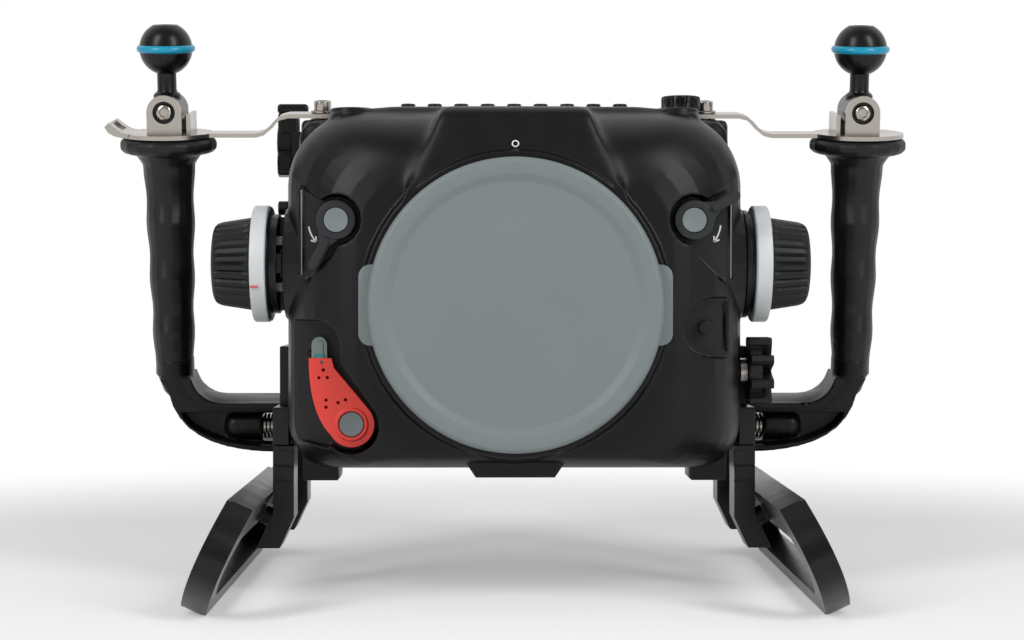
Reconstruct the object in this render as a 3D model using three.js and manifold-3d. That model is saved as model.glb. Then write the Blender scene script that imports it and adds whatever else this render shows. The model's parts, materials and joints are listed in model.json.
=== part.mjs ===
// An underwater camera housing with two handles, in millimetres.
// +X is to the right of someone who faces its port, +Y goes away from them, +Z is up,
// and the leg loops stand on the plane Z = 0.
import * as THREE from 'three';
import { mergeVertices } from 'three/addons/utils/BufferGeometryUtils.js';
import Module from 'manifold-3d';

const wasm = await Module();
wasm.setup();

// Clearances and cutting
const fit = 0.3; // left between two pieces that touch
const overrun = 2; // how far a cutter passes the face that it cuts

// Rounding of curved forms, as counts of flats
const roundSides = 24;
const smallSides = 12;
const wideSides = 48;
const cornerSteps = 5;
const domeSteps = 5;
const skinSteps = 9; // of the body's outside, both ways
const rollSteps = 4;

// Housing body, a box with a domed front
const bodyHalfWidth = 106.3;
const bodyBottom = 60.6;
const bodyTop = 227;
const rearTopDrop = 2; // the square rear part is this much lower than the top
const rearTop = bodyTop - rearTopDrop;
const rearInset = 3.1; // and this much narrower at each side
const rearHalfWidth = bodyHalfWidth - rearInset;
const landDepth = 10; // pads on the sides that carry the rails
const frontFace = -80;
const domeDepth = 42;
const domeSideInset = 42;
const domeTopInset = 36;
const domeBottomInset = 9;
const shoulderPlane = -18; // where the rounded front gives way to the square rear
const seamPlane = 66; // where the back cover meets the front shell
const coverDepth = 34;
const coverRounding = 12;
const topRadius = 34;
const faceTopRadius = 30;
const rearTopRadius = 8;
const bottomRadius = 22;
const faceBottomRadius = 18;
const wall = 6;
const frontWall = 14;

// Port in the front, its collar, ring and cap
const portHeight = 137;
const collarRadius = 69;
const collarSpread = 4;
const collarDepth = 12;
const collarFace = -84;
const portBore = 52;
const portRingRadius = 60;
const portRingDepth = 8;
const portRingWidth = 5;
const bayonetLugs = 3;
const bayonetLugWidth = 22;
const bayonetLugDepth = 3;
const bayonetLugReach = 2.5;
const capRadius = 66;
const capThickness = 12.5;
const capRimWidth = 9;
const capRecess = 1.6;
const capRounding = 2.5;
const capPlugDepth = 6;
const capPlugWall = 4;
const capTabReach = 4.3;
const capTabHeight = 34;
const capTabThickness = 5;

// Raised nose panel above the port
const noseTopHalfWidth = 33;
const noseFootHalfWidth = 59;
const noseFootRise = 28; // from the port's middle to the nose's lower edge
const noseKneeRise = 52; // and to where its face starts to lean back
const noseRise = 1;
const noseLength = 49;
const noseSlope = 9;
const noseRoll = 9; // rounding between its face and its top

// Bosses on the top corners and the sides
const topBossInset = 30; // from the side of the body to each boss
const topBossSpan = bodyHalfWidth - topBossInset;
const topBossDepth = -37;
const topBossRise = 2;
const topBossRadius = 9.6;
const topBossFootRadius = 16;
const topBossHeight = 18;
const dialOffset = 3.2; // the dial stands behind the right boss and a little outside it
const dialSpan = topBossSpan + dialOffset;
const dialDepth = -24;
const sideBossReach = 1.2;
const sideBossRadius = 30;
const sideBossTaper = 4;
const sideBossDepth = 14;

// Feet and keel under the front shell
const footInset = 7.3; // from the side of the body to each foot
const footWidth = 16.5;
const footOuter = bodyHalfWidth - footInset;
const footInner = footOuter - footWidth;
const footDrop = 6;
const footLength = 30;
const frontFootPlane = -46;
const rearFootPlane = 28;
const footHeight = 14;
const keelHalfWidth = 18;
const keelFlare = 4;
const keelDrop = 2.2;
const keelPlane = -74;
const keelLength = 34;
const keelHeight = 6;

// Lever pockets in the front
const pocketWall = 5;
const lockInset = 24.9; // from the side of the body to each hub
const lockSpan = bodyHalfWidth - lockInset;
const lockHeight = 175.5;
const lockPocketFloor = -64;
const lockPocketRadius = 11.8;
const lockPocketReach = 30;
const lockPocketRise = 15;
const lockPocketDrop = 30;
const lockPocketRun = 16;
const lockPocketStep = 2;
const lockPocketNeck = 17;
const recordHubInset = 31.3;
const recordHubSpan = bodyHalfWidth - recordHubInset;
const recordHubRise = 21.5; // above the bottom of the body
const recordHubHeight = bodyBottom + recordHubRise;
const recordPocketFloor = -57;
const recordPocketRadius = 13.5;
const recordPocketReach = 32;
const recordPocketRise = 48;
const recordPocketHalfWidth = 12;
const releaseInset = 19.3;
const releaseSpan = bodyHalfWidth - releaseInset;
const releaseDrop = 10.5; // below the middle of the port
const releaseHeight = portHeight - releaseDrop;
const releasePocketRadius = 14;
const releasePocketFloor = -63;
const releasePocketReach = 22;

// Lock levers
const lockHubRadius = 8.6;
const lockHubThickness = 9;
const lockArmLength = 23.4;
const lockArmWidth = 3.8;
const lockArmThickness = 4;
const lockDiscRadius = 5.6;
const lockDiscDepth = 2.5;
const lockShaftRadius = 3;
const lockArmAngleLeft = 243;
const lockArmAngleRight = 31;

// Red record lever
const recordLength = 30.4;
const recordHubRadius = 10.6;
const recordEndInner = 9; // its end, as two distances from the hub's middle
const recordEndOuter = 19.5;
const recordTipOffset = 14.7;
const recordThickness = 8;
const recordPocketLean = 24; // degrees that the pocket leans outwards
const recordDiscRadius = 5.6;
const recordDiscDepth = 2.5;
const recordShaftRadius = 3.5;
const recordTipRadius = 3.6;
const recordTipLength = 9.9;
const recordTipDepth = 5;

// Buttons
const buttonCount = 9;
const buttonRowInset = 55.98; // from the sides of the body to the row's ends
const buttonPitch = (2 * (bodyHalfWidth - buttonRowInset)) / (buttonCount - 1);
const buttonDepth = -27;
const buttonRadius = 3.4;
const buttonStemRadius = 1.7;
const buttonSeatDepth = 2.4; // round seats in the top that the heads sit in
const buttonStandOff = -0.6; // of a head's lower face from the top, down in its seat
const buttonHeight = 5.6;
const stemInside = 4; // how far stems and shafts reach past the inner wall
const releaseButtonRadius = 3.2;
const releaseButtonHeight = 3;
const releaseButtonStandOff = 2.4;
const sideButtonHeight = 183;
const sideButtonDepth = -13;
const sideButtonStandOff = 2.2;
const sideButtonLength = 4.9;

// Fluted dial on the top right boss
const dialRadius = 9.3;
const dialHeight = 6.6;
const dialFlutes = 24;
const dialFluteDepth = 0.7;
const dialShaftRadius = 2.5;

// Focus knobs
const knobHeight = 156;
const knobDepth = -32;
const knobShaftRadius = 4;
const knobBaseRadius = 23.5;
const knobBaseThickness = 4.1;
const knobPostLength = 2.7;
const knobPostWidth = 9;
const knobHubRadius = 9;
const collarBaseThickness = 4.2;
const knobRingRadius = 27.5;
const knobRingThickness = 8;
const knobRingBore = 17;
const knobRingGap = 0.8;
const knobGripRadius = 22;
const knobGripEndRadius = 19.3;
const knobGripLength = 18;
const knobRibs = 26;
const knobRibDepth = 1.1;
const knobEndRounding = 2;
const knobSpigotRadius = 16.5;

// Lobed control wheel on the right side
const wheelHeight = 105.4;
const wheelDepth = -34;
const wheelRadius = 16.8;
const wheelCoreRadius = 13.4; // a disc between the lobes, thinner than they are
const wheelCoreThickness = 5.5;
const wheelRootRadius = 5;
const wheelLobes = 8;
const wheelThickness = 10.6;
const wheelShaftRadius = 2.5;
const glandRadius = 6;
const glandLength = 3.6;

// Side rails that carry the handles and the legs
const railThickness = 7.9;
const railRise = 9.4; // above the bottom of the body
const railBottom = bodyBottom + railRise;
const railWidth = 18;
const railTop = railBottom + railWidth;
const railFront = -32;
const railBackGap = 3; // short of the back cover's seam
const railBack = seamPlane - railBackGap;
const railBlockThickness = 6.2;
const railBlockRise = 28.5;
const railBlockTop = railTop + railBlockRise;
const railBlockFront = -15;
const railBlockBack = 20;

// Handles: an arm that rises from the rail, leaning towards the port
const handleLean = 9.8; // degrees
const handleRise = 7; // above the bottom of the rail
const handleHeight = railBottom + handleRise;
const handleDepth = 20;
const armHalfHeight = 13;
const armThickness = 24;
const armReach = 59;
const armGussetShare = 0.1;
const armInnerRadius = 17;
const armUprightWidth = 15.5;
const armUprightTop = 25.5;
const armWeb = 8;
const armTopFlange = 4.6;
const armBottomFlange = 2.5;
const coreRadius = 7;
const gripCentre = 52.8;
const gripTopHalfWidth = 12.4;
const gripBottomHalfWidth = 9.4;
const gripTopHalfDepth = 15;
const gripBottomHalfDepth = 13;
const gripRidgeHeight = 0.8;
const gripRidgePitch = 27.2;
const gripFirstRidge = 20.1; // above the grip's lower end
const gripLevels = 24;
const armSteps = 9;
const flangeRadius = 23.5;
const flangeThickness = 8.4;
const flangeFillet = 5;
const flangeNeckShare = 0.4;
const flangeTop = 143;

// Stainless handle plates
const plateThickness = 2;
const platePadRadius = 22;
const strapWidth = 14;
const strapRise = 9.4;
const strapBendOuter = 10;
const strapBendInner = -6;
const strapEndReach = 6.3; // how far the strap goes past its bolt
const curlReach = 28.6;
const curlRise = 5.6;
const curlWidth = 26;
const curlSlotWidth = 12;
const curlSlotLength = 5;
const earHalfWidth = 8.3;
const earGap = 22;
const earHeight = 10.5;
const earHoleRadius = 5.4;
const earWallSpan = 12.4; // from the pivot to the low wall on the side of the body
const boltHoleRadius = 2.8;
const boltRadius = 2.5;
const boltHeadRadius = 3.7;
const boltHeadHeight = 4.8;
const boltSocketRadius = 2;
const boltSocketDepth = 2.6;
const boltLength = 12;
const washerRadius = 5.6;
const washerThickness = 1;
const boltInset = 13.7; // from the side of the body to each shoulder bolt
const boltSpan = bodyHalfWidth - boltInset;
const shoulderBlockInside = 8.6; // how far its block reaches to either side of the bolt
const shoulderBlockOutside = 7.4;
const shoulderBlockInner = boltSpan - shoulderBlockInside;
const shoulderBlockOuter = boltSpan + shoulderBlockOutside;
const shoulderBlockDepth = 17;
const shoulderBlockHeight = 20;

// Ball mounts on the handles
const lugRadius = 8.3;
const lugShoulder = 7;
const stemRadius = 4.6;
const ballRadius = 12.7;
const ballRise = 29.8;
const ballFlat = 12.1;
const ballHoleRadius = 3.5;
const ballHoleDepth = 8;
const ringTubeRadius = 1.45;
const ringSeat = 11.9;
const pivotRadius = 3;
const pivotHeadRadius = 4.4;
const pivotHeadLength = 2.6;
const pivotNutRadius = 5.5;
const pivotNutLength = 3.4;

// Legs
const legLean = 25; // degrees that a leg loop leans outwards
const loopSpread = 31.2; // from the side of the body out to the inner bottom edge of a loop
const loopFoot = bodyHalfWidth + loopSpread;
const loopThickness = 10.7;
const loopHeight = 54;
const loopFront = -138;
const loopBack = 136.91;
const loopNoseRise = 24;
const loopFootFront = -98;
const loopRoofFront = -114;
const loopRoofBack = 58;
const loopFootBack = 124;
const loopBar = 10;
const loopRoofBar = 15;
const loopFlat = 1;
const legThickness = 9.9;
const legWidth = 20;
const legInset = 2.1; // how far the legs reach in under the rail
const legGap = 4.5;
const legFoot = 26.5;
const legBossRadius = 4.5;
const legBossHeight = 41.5;

// Back cover, its window, seal, hinge and latch
const windowSideInset = 40.3; // from the body's sides, bottom and top to the window
const windowHalfWidth = bodyHalfWidth - windowSideInset;
const windowBottomInset = 27.4;
const windowBottom = bodyBottom + windowBottomInset;
const windowTopInset = 29;
const windowTop = bodyTop - windowTopInset;
const windowRadius = 8;
const windowThickness = 5;
const windowLedge = 5;
const coverWall = 8;
const sealWidth = 2.4;
const sealDepth = 2.2;
const sealInset = 3;
const hingeReach = 4.7; // out from the side of the body
const hingeSpan = bodyHalfWidth + hingeReach;
const hingeRadius = 5.5;
const hingePinRadius = 2.5;
const hingeRise = 37.4; // above the bottom of the body
const hingeBottom = bodyBottom + hingeRise;
const hingeDrop = 37; // below its top
const hingeTop = bodyTop - hingeDrop;
const knuckleHeight = 18;
const hingePinHead = 2;
const latchDrop = 8; // from the top of the body and from the seam to the latch's shaft
const latchHeight = bodyTop - latchDrop;
const latchSeamGap = 11;
const latchDepth = seamPlane - latchSeamGap;
const latchBaseThickness = 6;
const latchBaseHeight = 30;
const latchBaseLength = 22;
const latchThickness = 7.6;
const latchRadius = 8;
const latchUpper = 17.4;
const latchLower = 10.5;
const latchLowerRadius = 6.8;
const latchBarRadius = 2.2;
const latchShaftRadius = 2.5;
const latchShaftLength = 5;
const latchArmWidth = 9;

// Camera tray inside
const trayInset = 48.3; // from the side of the body
const trayHalfWidth = bodyHalfWidth - trayInset;
const trayFront = -30;
const trayBack = 58;
const trayThickness = 4;
const trayRailHeight = 10;
const trayRailWidth = 5;
const trayRailInset = 8; // from the tray's side edge to each rail
const trayRailSpan = trayHalfWidth - trayRailInset;
const trayScrewRadius = 8;
const trayScrewHead = 6;
const trayScrewShank = 3.1;
const trayScrewRise = 6;
const trayScrewDepth = 5;

// Shapes of curved outlines, as shares of the sizes that they follow
const lockPocketTurnShares = [0.3, 1.47]; // of half a turn round the hub
const recordPocketCornerShares = [0.4, 0.8];
const recordPocketTurnShares = [-0.75, 0.14];
const recordPocketCrownShare = 1.6;
const recordTurnShares = [1.16, 2.2];
// One lobe of the wheel: share of its turn, and share of the way from root to tip
const wheelLobeShares = [[0, 0], [0.22, 0.25], [0.3, 0.85], [0.4, 1], [0.6, 1], [0.7, 0.85], [0.78, 0.25]];
const loopTailShare = 1.8; // of the loop's bar
const loopNoseShare = 2.4;
const loopHeelShare = 2.6;
// Control points of the arm's outer curve and of its pocket's
const armReachShares = [0.51, 0.85, 0.925];
const armLowShare = 0.31;
const armTopShare = 0.7;
const armPocketShares = [0.48, 0.78, 0.83];
const armPocketLowShare = 0.15;

// Finishes, by colour, roughness and metalness
const blackMetal = { color: 0x1d1e1f, roughness: 0.5, metalness: 0.4 };
const blackPlastic = { color: 0x1a1b1c, roughness: 0.6, metalness: 0 };
const blackRubber = { color: 0x202122, roughness: 0.8, metalness: 0 };
const greyPlastic = { color: 0x7a8384, roughness: 0.55, metalness: 0 };
const redPlastic = { color: 0xe03e36, roughness: 0.45, metalness: 0 };
const palePlastic = { color: 0xd5d9db, roughness: 0.5, metalness: 0 };
const blueRubber = { color: 0x19a9cf, roughness: 0.45, metalness: 0 };
const stainless = { color: 0xb3b1ac, roughness: 0.3, metalness: 1 };
const clearPlastic = { color: 0xb9c6cc, roughness: 0.05, metalness: 0 };

// Places worked out from the sizes above
const coverFace = seamPlane + fit;
const coverBack = coverFace + coverDepth;
const sideBossFace = bodyHalfWidth + sideBossReach;
const railInner = bodyHalfWidth + fit;
const railOuter = railInner + railThickness;
const handleStart = railOuter + fit;
const radians = THREE.MathUtils.degToRad;
const plateBottom = flangeTop + fit;
const plateTop = plateBottom + plateThickness;
const pivotHeight = plateTop + earHeight;
const coreTop = flangeTop - fit;
const latchInner = bodyHalfWidth;

// A three.js geometry, closed and welded, as a solid that can be joined and cut
function solid(geometry) {
  const bare = geometry.clone();
  for (const extra of ['normal', 'uv']) bare.deleteAttribute(extra);
  const welded = mergeVertices(bare);
  const corners = [];
  for (let i = 0; i < welded.index.count; i += 3) {
    const [a, b, c] = welded.index.array.slice(i, i + 3);
    if (a !== b && b !== c && c !== a) corners.push(a, b, c);
  }
  const made = (triVerts) =>
    new wasm.Manifold(
      new wasm.Mesh({
        numProp: 3,
        vertProperties: Float32Array.from(welded.attributes.position.array),
        triVerts: Uint32Array.from(triVerts),
      }),
    );
  const first = made(corners);
  return first.volume() > 0 ? first : made(corners.reverse());
}

function geometryOf(shape) {
  const { numProp, vertProperties, triVerts } = shape.getMesh();
  const places = new Float32Array((vertProperties.length / numProp) * 3);
  for (let i = 0; i < places.length / 3; i += 1) {
    for (let j = 0; j < 3; j += 1) places[3 * i + j] = vertProperties[numProp * i + j];
  }
  const geometry = new THREE.BufferGeometry();
  geometry.setAttribute('position', new THREE.BufferAttribute(places, 3));
  geometry.setIndex(new THREE.BufferAttribute(Uint32Array.from(triVerts), 1));
  geometry.computeVertexNormals();
  return geometry;
}

function piece(name, shape, finish) {
  const mesh = new THREE.Mesh(geometryOf(shape), new THREE.MeshStandardMaterial(finish));
  mesh.name = name;
  return mesh;
}

const joined = (...shapes) => shapes.reduce((whole, part) => whole.add(part));
const cut = (shape, ...tools) => tools.reduce((left, tool) => left.subtract(tool), shape);

// A block between two corners
function block([x0, y0, z0], [x1, y1, z1]) {
  const geometry = new THREE.BoxGeometry(x1 - x0, y1 - y0, z1 - z0);
  return solid(geometry.translate((x0 + x1) / 2, (y0 + y1) / 2, (z0 + z1) / 2));
}

// Turns a form made along +Y so that it runs along the named axis
function alongAxis(geometry, axis) {
  if (axis === 'x') geometry.rotateZ(-Math.PI / 2);
  if (axis === 'z') geometry.rotateX(Math.PI / 2);
  return geometry;
}

// A rod or cone along an axis, from one station to another, through the point (u, v)
// of the other two axes in X, Y, Z order
function rod(axis, [u, v], from, to, radius, endRadius = radius, sides = roundSides) {
  const geometry = new THREE.CylinderGeometry(endRadius, radius, to - from, sides);
  alongAxis(geometry.translate(0, (from + to) / 2, 0), axis);
  if (axis === 'x') geometry.translate(0, u, v);
  if (axis === 'y') geometry.translate(u, 0, v);
  if (axis === 'z') geometry.translate(u, v, 0);
  return solid(geometry);
}

// An outline drawn in X and Z, from a front plane to a back plane along Y
function slabAlongY(shape, front, back, curveSegments = cornerSteps) {
  const geometry = new THREE.ExtrudeGeometry(shape, {
    depth: back - front,
    bevelEnabled: false,
    curveSegments,
  });
  return solid(geometry.rotateX(Math.PI / 2).translate(0, back, 0));
}

// An outline drawn in Y and Z, from one station to another along X
function slabAlongX(shape, from, to, curveSegments = cornerSteps) {
  const geometry = new THREE.ExtrudeGeometry(shape, {
    depth: to - from,
    bevelEnabled: false,
    curveSegments,
  });
  const turn = new THREE.Matrix4().makeBasis(
    new THREE.Vector3(0, 1, 0),
    new THREE.Vector3(0, 0, 1),
    new THREE.Vector3(1, 0, 0),
  );
  return solid(geometry.applyMatrix4(turn).translate(from, 0, 0));
}

// An outline drawn in X and Y, from one level to another along Z
function slabAlongZ(shape, from, to, curveSegments = cornerSteps) {
  const geometry = new THREE.ExtrudeGeometry(shape, {
    depth: to - from,
    bevelEnabled: false,
    curveSegments,
  });
  return solid(geometry.translate(0, 0, from));
}

function outline(points) {
  return new THREE.Shape(points.map(([u, v]) => new THREE.Vector2(u, v)));
}

function discShape(u, v, radius) {
  const shape = new THREE.Shape();
  shape.absarc(u, v, radius, 0, 2 * Math.PI);
  return shape;
}

// A skin over rings of points, each ring with as many points as the others and turning
// left about the way from the first ring to the last
function loft(rings) {
  const places = rings.flat(2);
  const count = rings[0].length;
  const faces = [];
  for (let k = 0; k + 1 < rings.length; k += 1) {
    for (let i = 0; i < count; i += 1) {
      const a = k * count + i;
      const b = k * count + ((i + 1) % count);
      faces.push(a, b, a + count, b, b + count, a + count);
    }
  }
  for (const [k, flip] of [[0, true], [rings.length - 1, false]]) {
    const centre = places.length / 3;
    for (let j = 0; j < 3; j += 1) {
      places.push(rings[k].reduce((sum, point) => sum + point[j], 0) / count);
    }
    for (let i = 0; i < count; i += 1) {
      const a = k * count + i;
      const b = k * count + ((i + 1) % count);
      faces.push(...(flip ? [centre, b, a] : [centre, a, b]));
    }
  }
  const geometry = new THREE.BufferGeometry();
  geometry.setAttribute('position', new THREE.Float32BufferAttribute(places, 3));
  geometry.setIndex(faces);
  return solid(geometry);
}

// A rectangle with round corners at one depth, from its lower right corner round to the left
function bodyRing(depth, halfWidth, bottom, top, lowRadius, highRadius, steps = cornerSteps) {
  const corners = [
    [halfWidth - lowRadius, bottom + lowRadius, lowRadius],
    [halfWidth - highRadius, top - highRadius, highRadius],
    [highRadius - halfWidth, top - highRadius, highRadius],
    [lowRadius - halfWidth, bottom + lowRadius, lowRadius],
  ];
  return corners.flatMap(([x, z, radius], corner) =>
    Array.from({ length: steps + 1 }, (_, step) => {
      const angle = (Math.PI / 2) * (corner - 1 + step / steps);
      return [x + radius * Math.cos(angle), depth, z + radius * Math.sin(angle)];
    }),
  );
}

// The domed front, shrunk by an inset all round, from a back plane to its front face
function dome(inset, face, back, steps = domeSteps, corners = cornerSteps) {
  const rings = [];
  const rim = face + domeDepth;
  const ringAt = (depth, tuck) =>
    bodyRing(
      depth,
      bodyHalfWidth - inset - domeSideInset * tuck,
      bodyBottom + inset + domeBottomInset * tuck,
      bodyTop - inset - domeTopInset * tuck,
      bottomRadius - inset + (faceBottomRadius - bottomRadius) * tuck,
      topRadius - inset + (faceTopRadius - topRadius) * tuck,
      corners,
    );
  rings.push(ringAt(back, 0));
  for (let step = steps; step >= 0; step -= 1) {
    const angle = (step / steps) * (Math.PI / 2);
    rings.push(ringAt(rim - domeDepth * Math.cos(angle), 1 - Math.sin(angle)));
  }
  return loft(rings);
}

// The square rear part of the body, or the same shrunk by an inset, between two planes
function rearBox(inset, front, back) {
  const ringAt = (depth) =>
    bodyRing(
      depth,
      rearHalfWidth - inset,
      bodyBottom + inset,
      rearTop - inset,
      bottomRadius - inset,
      rearTopRadius - Math.min(inset, rearTopRadius / 2),
    );
  return loft([ringAt(back), ringAt(front)]);
}

// Geometry that is mirrored across X = 0 for the left side
function sided(side, shape) {
  return side > 0 ? shape : shape.mirror([1, 0, 0]);
}

// Lever pocket outline of the right lock lever: a round seat that opens towards the side
function lockPocketShape(grow) {
  const radius = lockPocketRadius + grow;
  const shape = new THREE.Shape();
  const outer = lockSpan + lockPocketReach + grow;
  shape.moveTo(outer, lockHeight + lockPocketRise + grow);
  shape.lineTo(lockSpan + lockPocketRun, lockHeight + lockPocketRise + grow);
  shape.absarc(lockSpan, lockHeight, radius, ...lockPocketTurnShares.map((t) => Math.PI * t), false);
  shape.lineTo(lockSpan + lockPocketStep - grow, lockHeight - lockPocketNeck);
  shape.lineTo(lockSpan + lockPocketRun, lockHeight - lockPocketDrop - grow);
  shape.lineTo(outer, lockHeight - lockPocketDrop - grow);
  return shape;
}

// Pocket of the record lever on the left: a drop shape that is open towards the side
function recordPocketShape(grow) {
  const radius = recordPocketRadius + grow;
  const half = recordPocketHalfWidth + grow;
  const crown = recordHubHeight + recordPocketRise + grow;
  const lean = Math.tan(radians(recordPocketLean));
  const crownX = -recordHubSpan - (recordPocketRise - half) * lean;
  const outer = -recordHubSpan - recordPocketReach - grow;
  const shape = new THREE.Shape();
  shape.moveTo(outer, crown);
  const [outside, corner] = recordPocketCornerShares;
  shape.lineTo(outer, recordHubHeight - radius * outside);
  shape.lineTo(-recordHubSpan - radius * corner, recordHubHeight - radius * corner);
  shape.absarc(-recordHubSpan, recordHubHeight, radius,
    ...recordPocketTurnShares.map((t) => Math.PI * t), false);
  shape.lineTo(crownX + half, crown - recordPocketCrownShare * half);
  shape.absarc(crownX, crown - half, half, 0, Math.PI / 2, false);
  return shape;
}

function releasePocketShape(grow) {
  const radius = releasePocketRadius + grow;
  const shape = new THREE.Shape();
  const centre = releaseSpan + radius / 5;
  shape.moveTo(centre, releaseHeight + radius);
  shape.absarc(centre, releaseHeight, radius, Math.PI / 2, Math.PI * 1.5, false);
  shape.lineTo(releaseSpan + releasePocketReach + grow, releaseHeight - radius);
  shape.lineTo(releaseSpan + releasePocketReach + grow, releaseHeight + radius);
  return shape;
}

// Every pocket as its outline, its side and the plane of its floor
const pockets = [
  { shapeFor: lockPocketShape, side: 1, floor: lockPocketFloor },
  { shapeFor: lockPocketShape, side: -1, floor: lockPocketFloor },
  { shapeFor: recordPocketShape, side: 1, floor: recordPocketFloor },
  { shapeFor: releasePocketShape, side: 1, floor: releasePocketFloor },
];

function noseSolid() {
  const foot = portHeight + noseFootRise;
  const crown = bodyTop + noseRise;
  const front = collarFace;
  const back = front + noseSlope + noseRoll + noseLength;
  const roll = Array.from({ length: rollSteps + 1 }, (_, step) => {
    const angle = (step / rollSteps) * (Math.PI / 2);
    return [
      front + noseSlope + noseRoll * (1 - Math.cos(angle)),
      crown - noseRoll * (1 - Math.sin(angle)),
    ];
  });
  const profile = outline([
    [front, foot],
    [front, portHeight + noseKneeRise],
    ...roll,
    [back, crown],
    [back, foot],
  ]);
  const face = outline([
    [-noseFootHalfWidth, foot - overrun],
    [noseFootHalfWidth, foot - overrun],
    [noseTopHalfWidth, crown + overrun],
    [-noseTopHalfWidth, crown + overrun],
  ]);
  const long = slabAlongX(profile, -noseFootHalfWidth, noseFootHalfWidth);
  return long.intersect(slabAlongY(face, front - overrun, back + overrun));
}

function underside() {
  const feet = [-1, 1].flatMap((side) =>
    [frontFootPlane, rearFootPlane].map((plane) =>
      sided(
        side,
        block(
          [footInner, plane, bodyBottom - footDrop],
          [footOuter, plane + footLength, bodyBottom - footDrop + footHeight],
        ),
      ),
    ),
  );
  const keelTop = bodyBottom - keelDrop + keelHeight;
  const keel = outline([
    [-keelHalfWidth, bodyBottom - keelDrop],
    [keelHalfWidth, bodyBottom - keelDrop],
    [keelHalfWidth + keelFlare, keelTop],
    [-keelHalfWidth - keelFlare, keelTop],
  ]);
  return joined(...feet, slabAlongY(keel, keelPlane, keelPlane + keelLength));
}

// The leaning frame that a handle and its plate are drawn in, for the right side
function handleFrame() {
  return new THREE.Matrix4()
    .makeTranslation(handleStart, handleDepth, handleHeight)
    .multiply(new THREE.Matrix4().makeRotationX(radians(handleLean)));
}

const strapBottom = plateBottom + strapRise;
const boltPlace = boltSpan - handleStart;

// Block on a shoulder of the body that a strap is bolted to
function shoulderBlock() {
  const half = shoulderBlockDepth / 2;
  const geometry = new THREE.BoxGeometry(
    shoulderBlockOuter - shoulderBlockInner,
    shoulderBlockDepth,
    shoulderBlockHeight,
  );
  geometry.translate(
    (shoulderBlockOuter + shoulderBlockInner) / 2 - handleStart,
    half - half,
    strapBottom - fit - shoulderBlockHeight / 2,
  );
  return solid(geometry.applyMatrix4(handleFrame()));
}

function shoulderBoltHole() {
  const hole = new THREE.CylinderGeometry(boltHoleRadius, boltHoleRadius, boltLength, smallSides);
  hole.rotateX(Math.PI / 2);
  hole.translate(boltPlace, 0, strapBottom - boltLength / 2 + overrun - fit);
  return solid(hole.applyMatrix4(handleFrame()));
}

// Level of the outer surface above one point of the rear part's top corner or the dome's
function domeTopAt(x) {
  const straight = bodyHalfWidth - topRadius;
  const past = Math.max(Math.abs(x) - straight, 0);
  return bodyTop - topRadius + Math.sqrt(topRadius ** 2 - past ** 2);
}

const bossTop = bodyTop + topBossRise;

function frontShell() {
  const port = ['y', [0, portHeight]];
  const topBosses = [-1, 1].map((side) =>
    rod('z', [side * topBossSpan, topBossDepth], bossTop - topBossHeight, bossTop,
      topBossFootRadius, topBossRadius),
  );
  topBosses.push(
    rod('z', [dialSpan, dialDepth], bossTop - topBossHeight, bossTop, topBossRadius, topBossRadius),
  );
  const sideBosses = [-1, 1].map((side) =>
    sided(
      side,
      rod('x', [knobDepth, knobHeight], sideBossFace - sideBossDepth, sideBossFace,
        sideBossRadius + sideBossTaper, sideBossRadius - sideBossTaper),
    ),
  );
  const outside = joined(
    dome(0, frontFace, shoulderPlane, skinSteps, skinSteps),
    rearBox(0, shoulderPlane - overrun, seamPlane),
    rod(...port, collarFace, collarFace + collarDepth, collarRadius, collarRadius + collarSpread,
      wideSides),
    rod(...port, collarFace + collarDepth, collarFace + 3 * collarDepth,
      collarRadius + collarSpread, collarRadius + collarSpread, wideSides),
    noseSolid(),
    ...topBosses,
    ...sideBosses,
    underside(),
    ...[-1, 1].flatMap((side) => [
      sided(side, shoulderBlock()),
      block(
        [side > 0 ? bodyHalfWidth - landDepth : -bodyHalfWidth, shoulderPlane - overrun, railBottom],
        [side > 0 ? bodyHalfWidth : landDepth - bodyHalfWidth, railBack, railBlockTop],
      ),
    ]),
  );
  const cavityFront = frontFace + frontWall;
  const cavity = joined(
    dome(wall, cavityFront, shoulderPlane + overrun),
    rearBox(wall, shoulderPlane, seamPlane + overrun),
  );
  const backings = pockets.map(({ shapeFor, side, floor }) =>
    sided(side, slabAlongY(shapeFor(pocketWall), collarFace, floor + pocketWall)).intersect(outside),
  );
  const pocketCuts = pockets.map(({ shapeFor, side, floor }) =>
    sided(side, slabAlongY(shapeFor(0), collarFace - overrun, floor)),
  );
  const rails = [-1, 1].map((side) =>
    sided(
      side,
      block(
        [trayRailSpan - trayRailWidth / 2, trayFront, bodyBottom + wall - fit],
        [trayRailSpan + trayRailWidth / 2, trayBack, bodyBottom + wall + trayRailHeight],
      ),
    ),
  );
  return cut(
    joined(cut(outside, cavity), ...backings, ...rails, ...hingeKnuckles('shell')),
    ...pocketCuts,
    rod(...port, collarFace - overrun, cavityFront + overrun + pocketWall, portBore, portBore,
      wideSides),
    rod(...port, collarFace - overrun, collarFace + portRingDepth + fit, portRingRadius + fit,
      portRingRadius + fit, wideSides),
    ...shaftHoles(),
    ...[-1, 1].map((side) => sided(side, shoulderBoltHole())),
    hingeBore(),
  );
}

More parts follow.
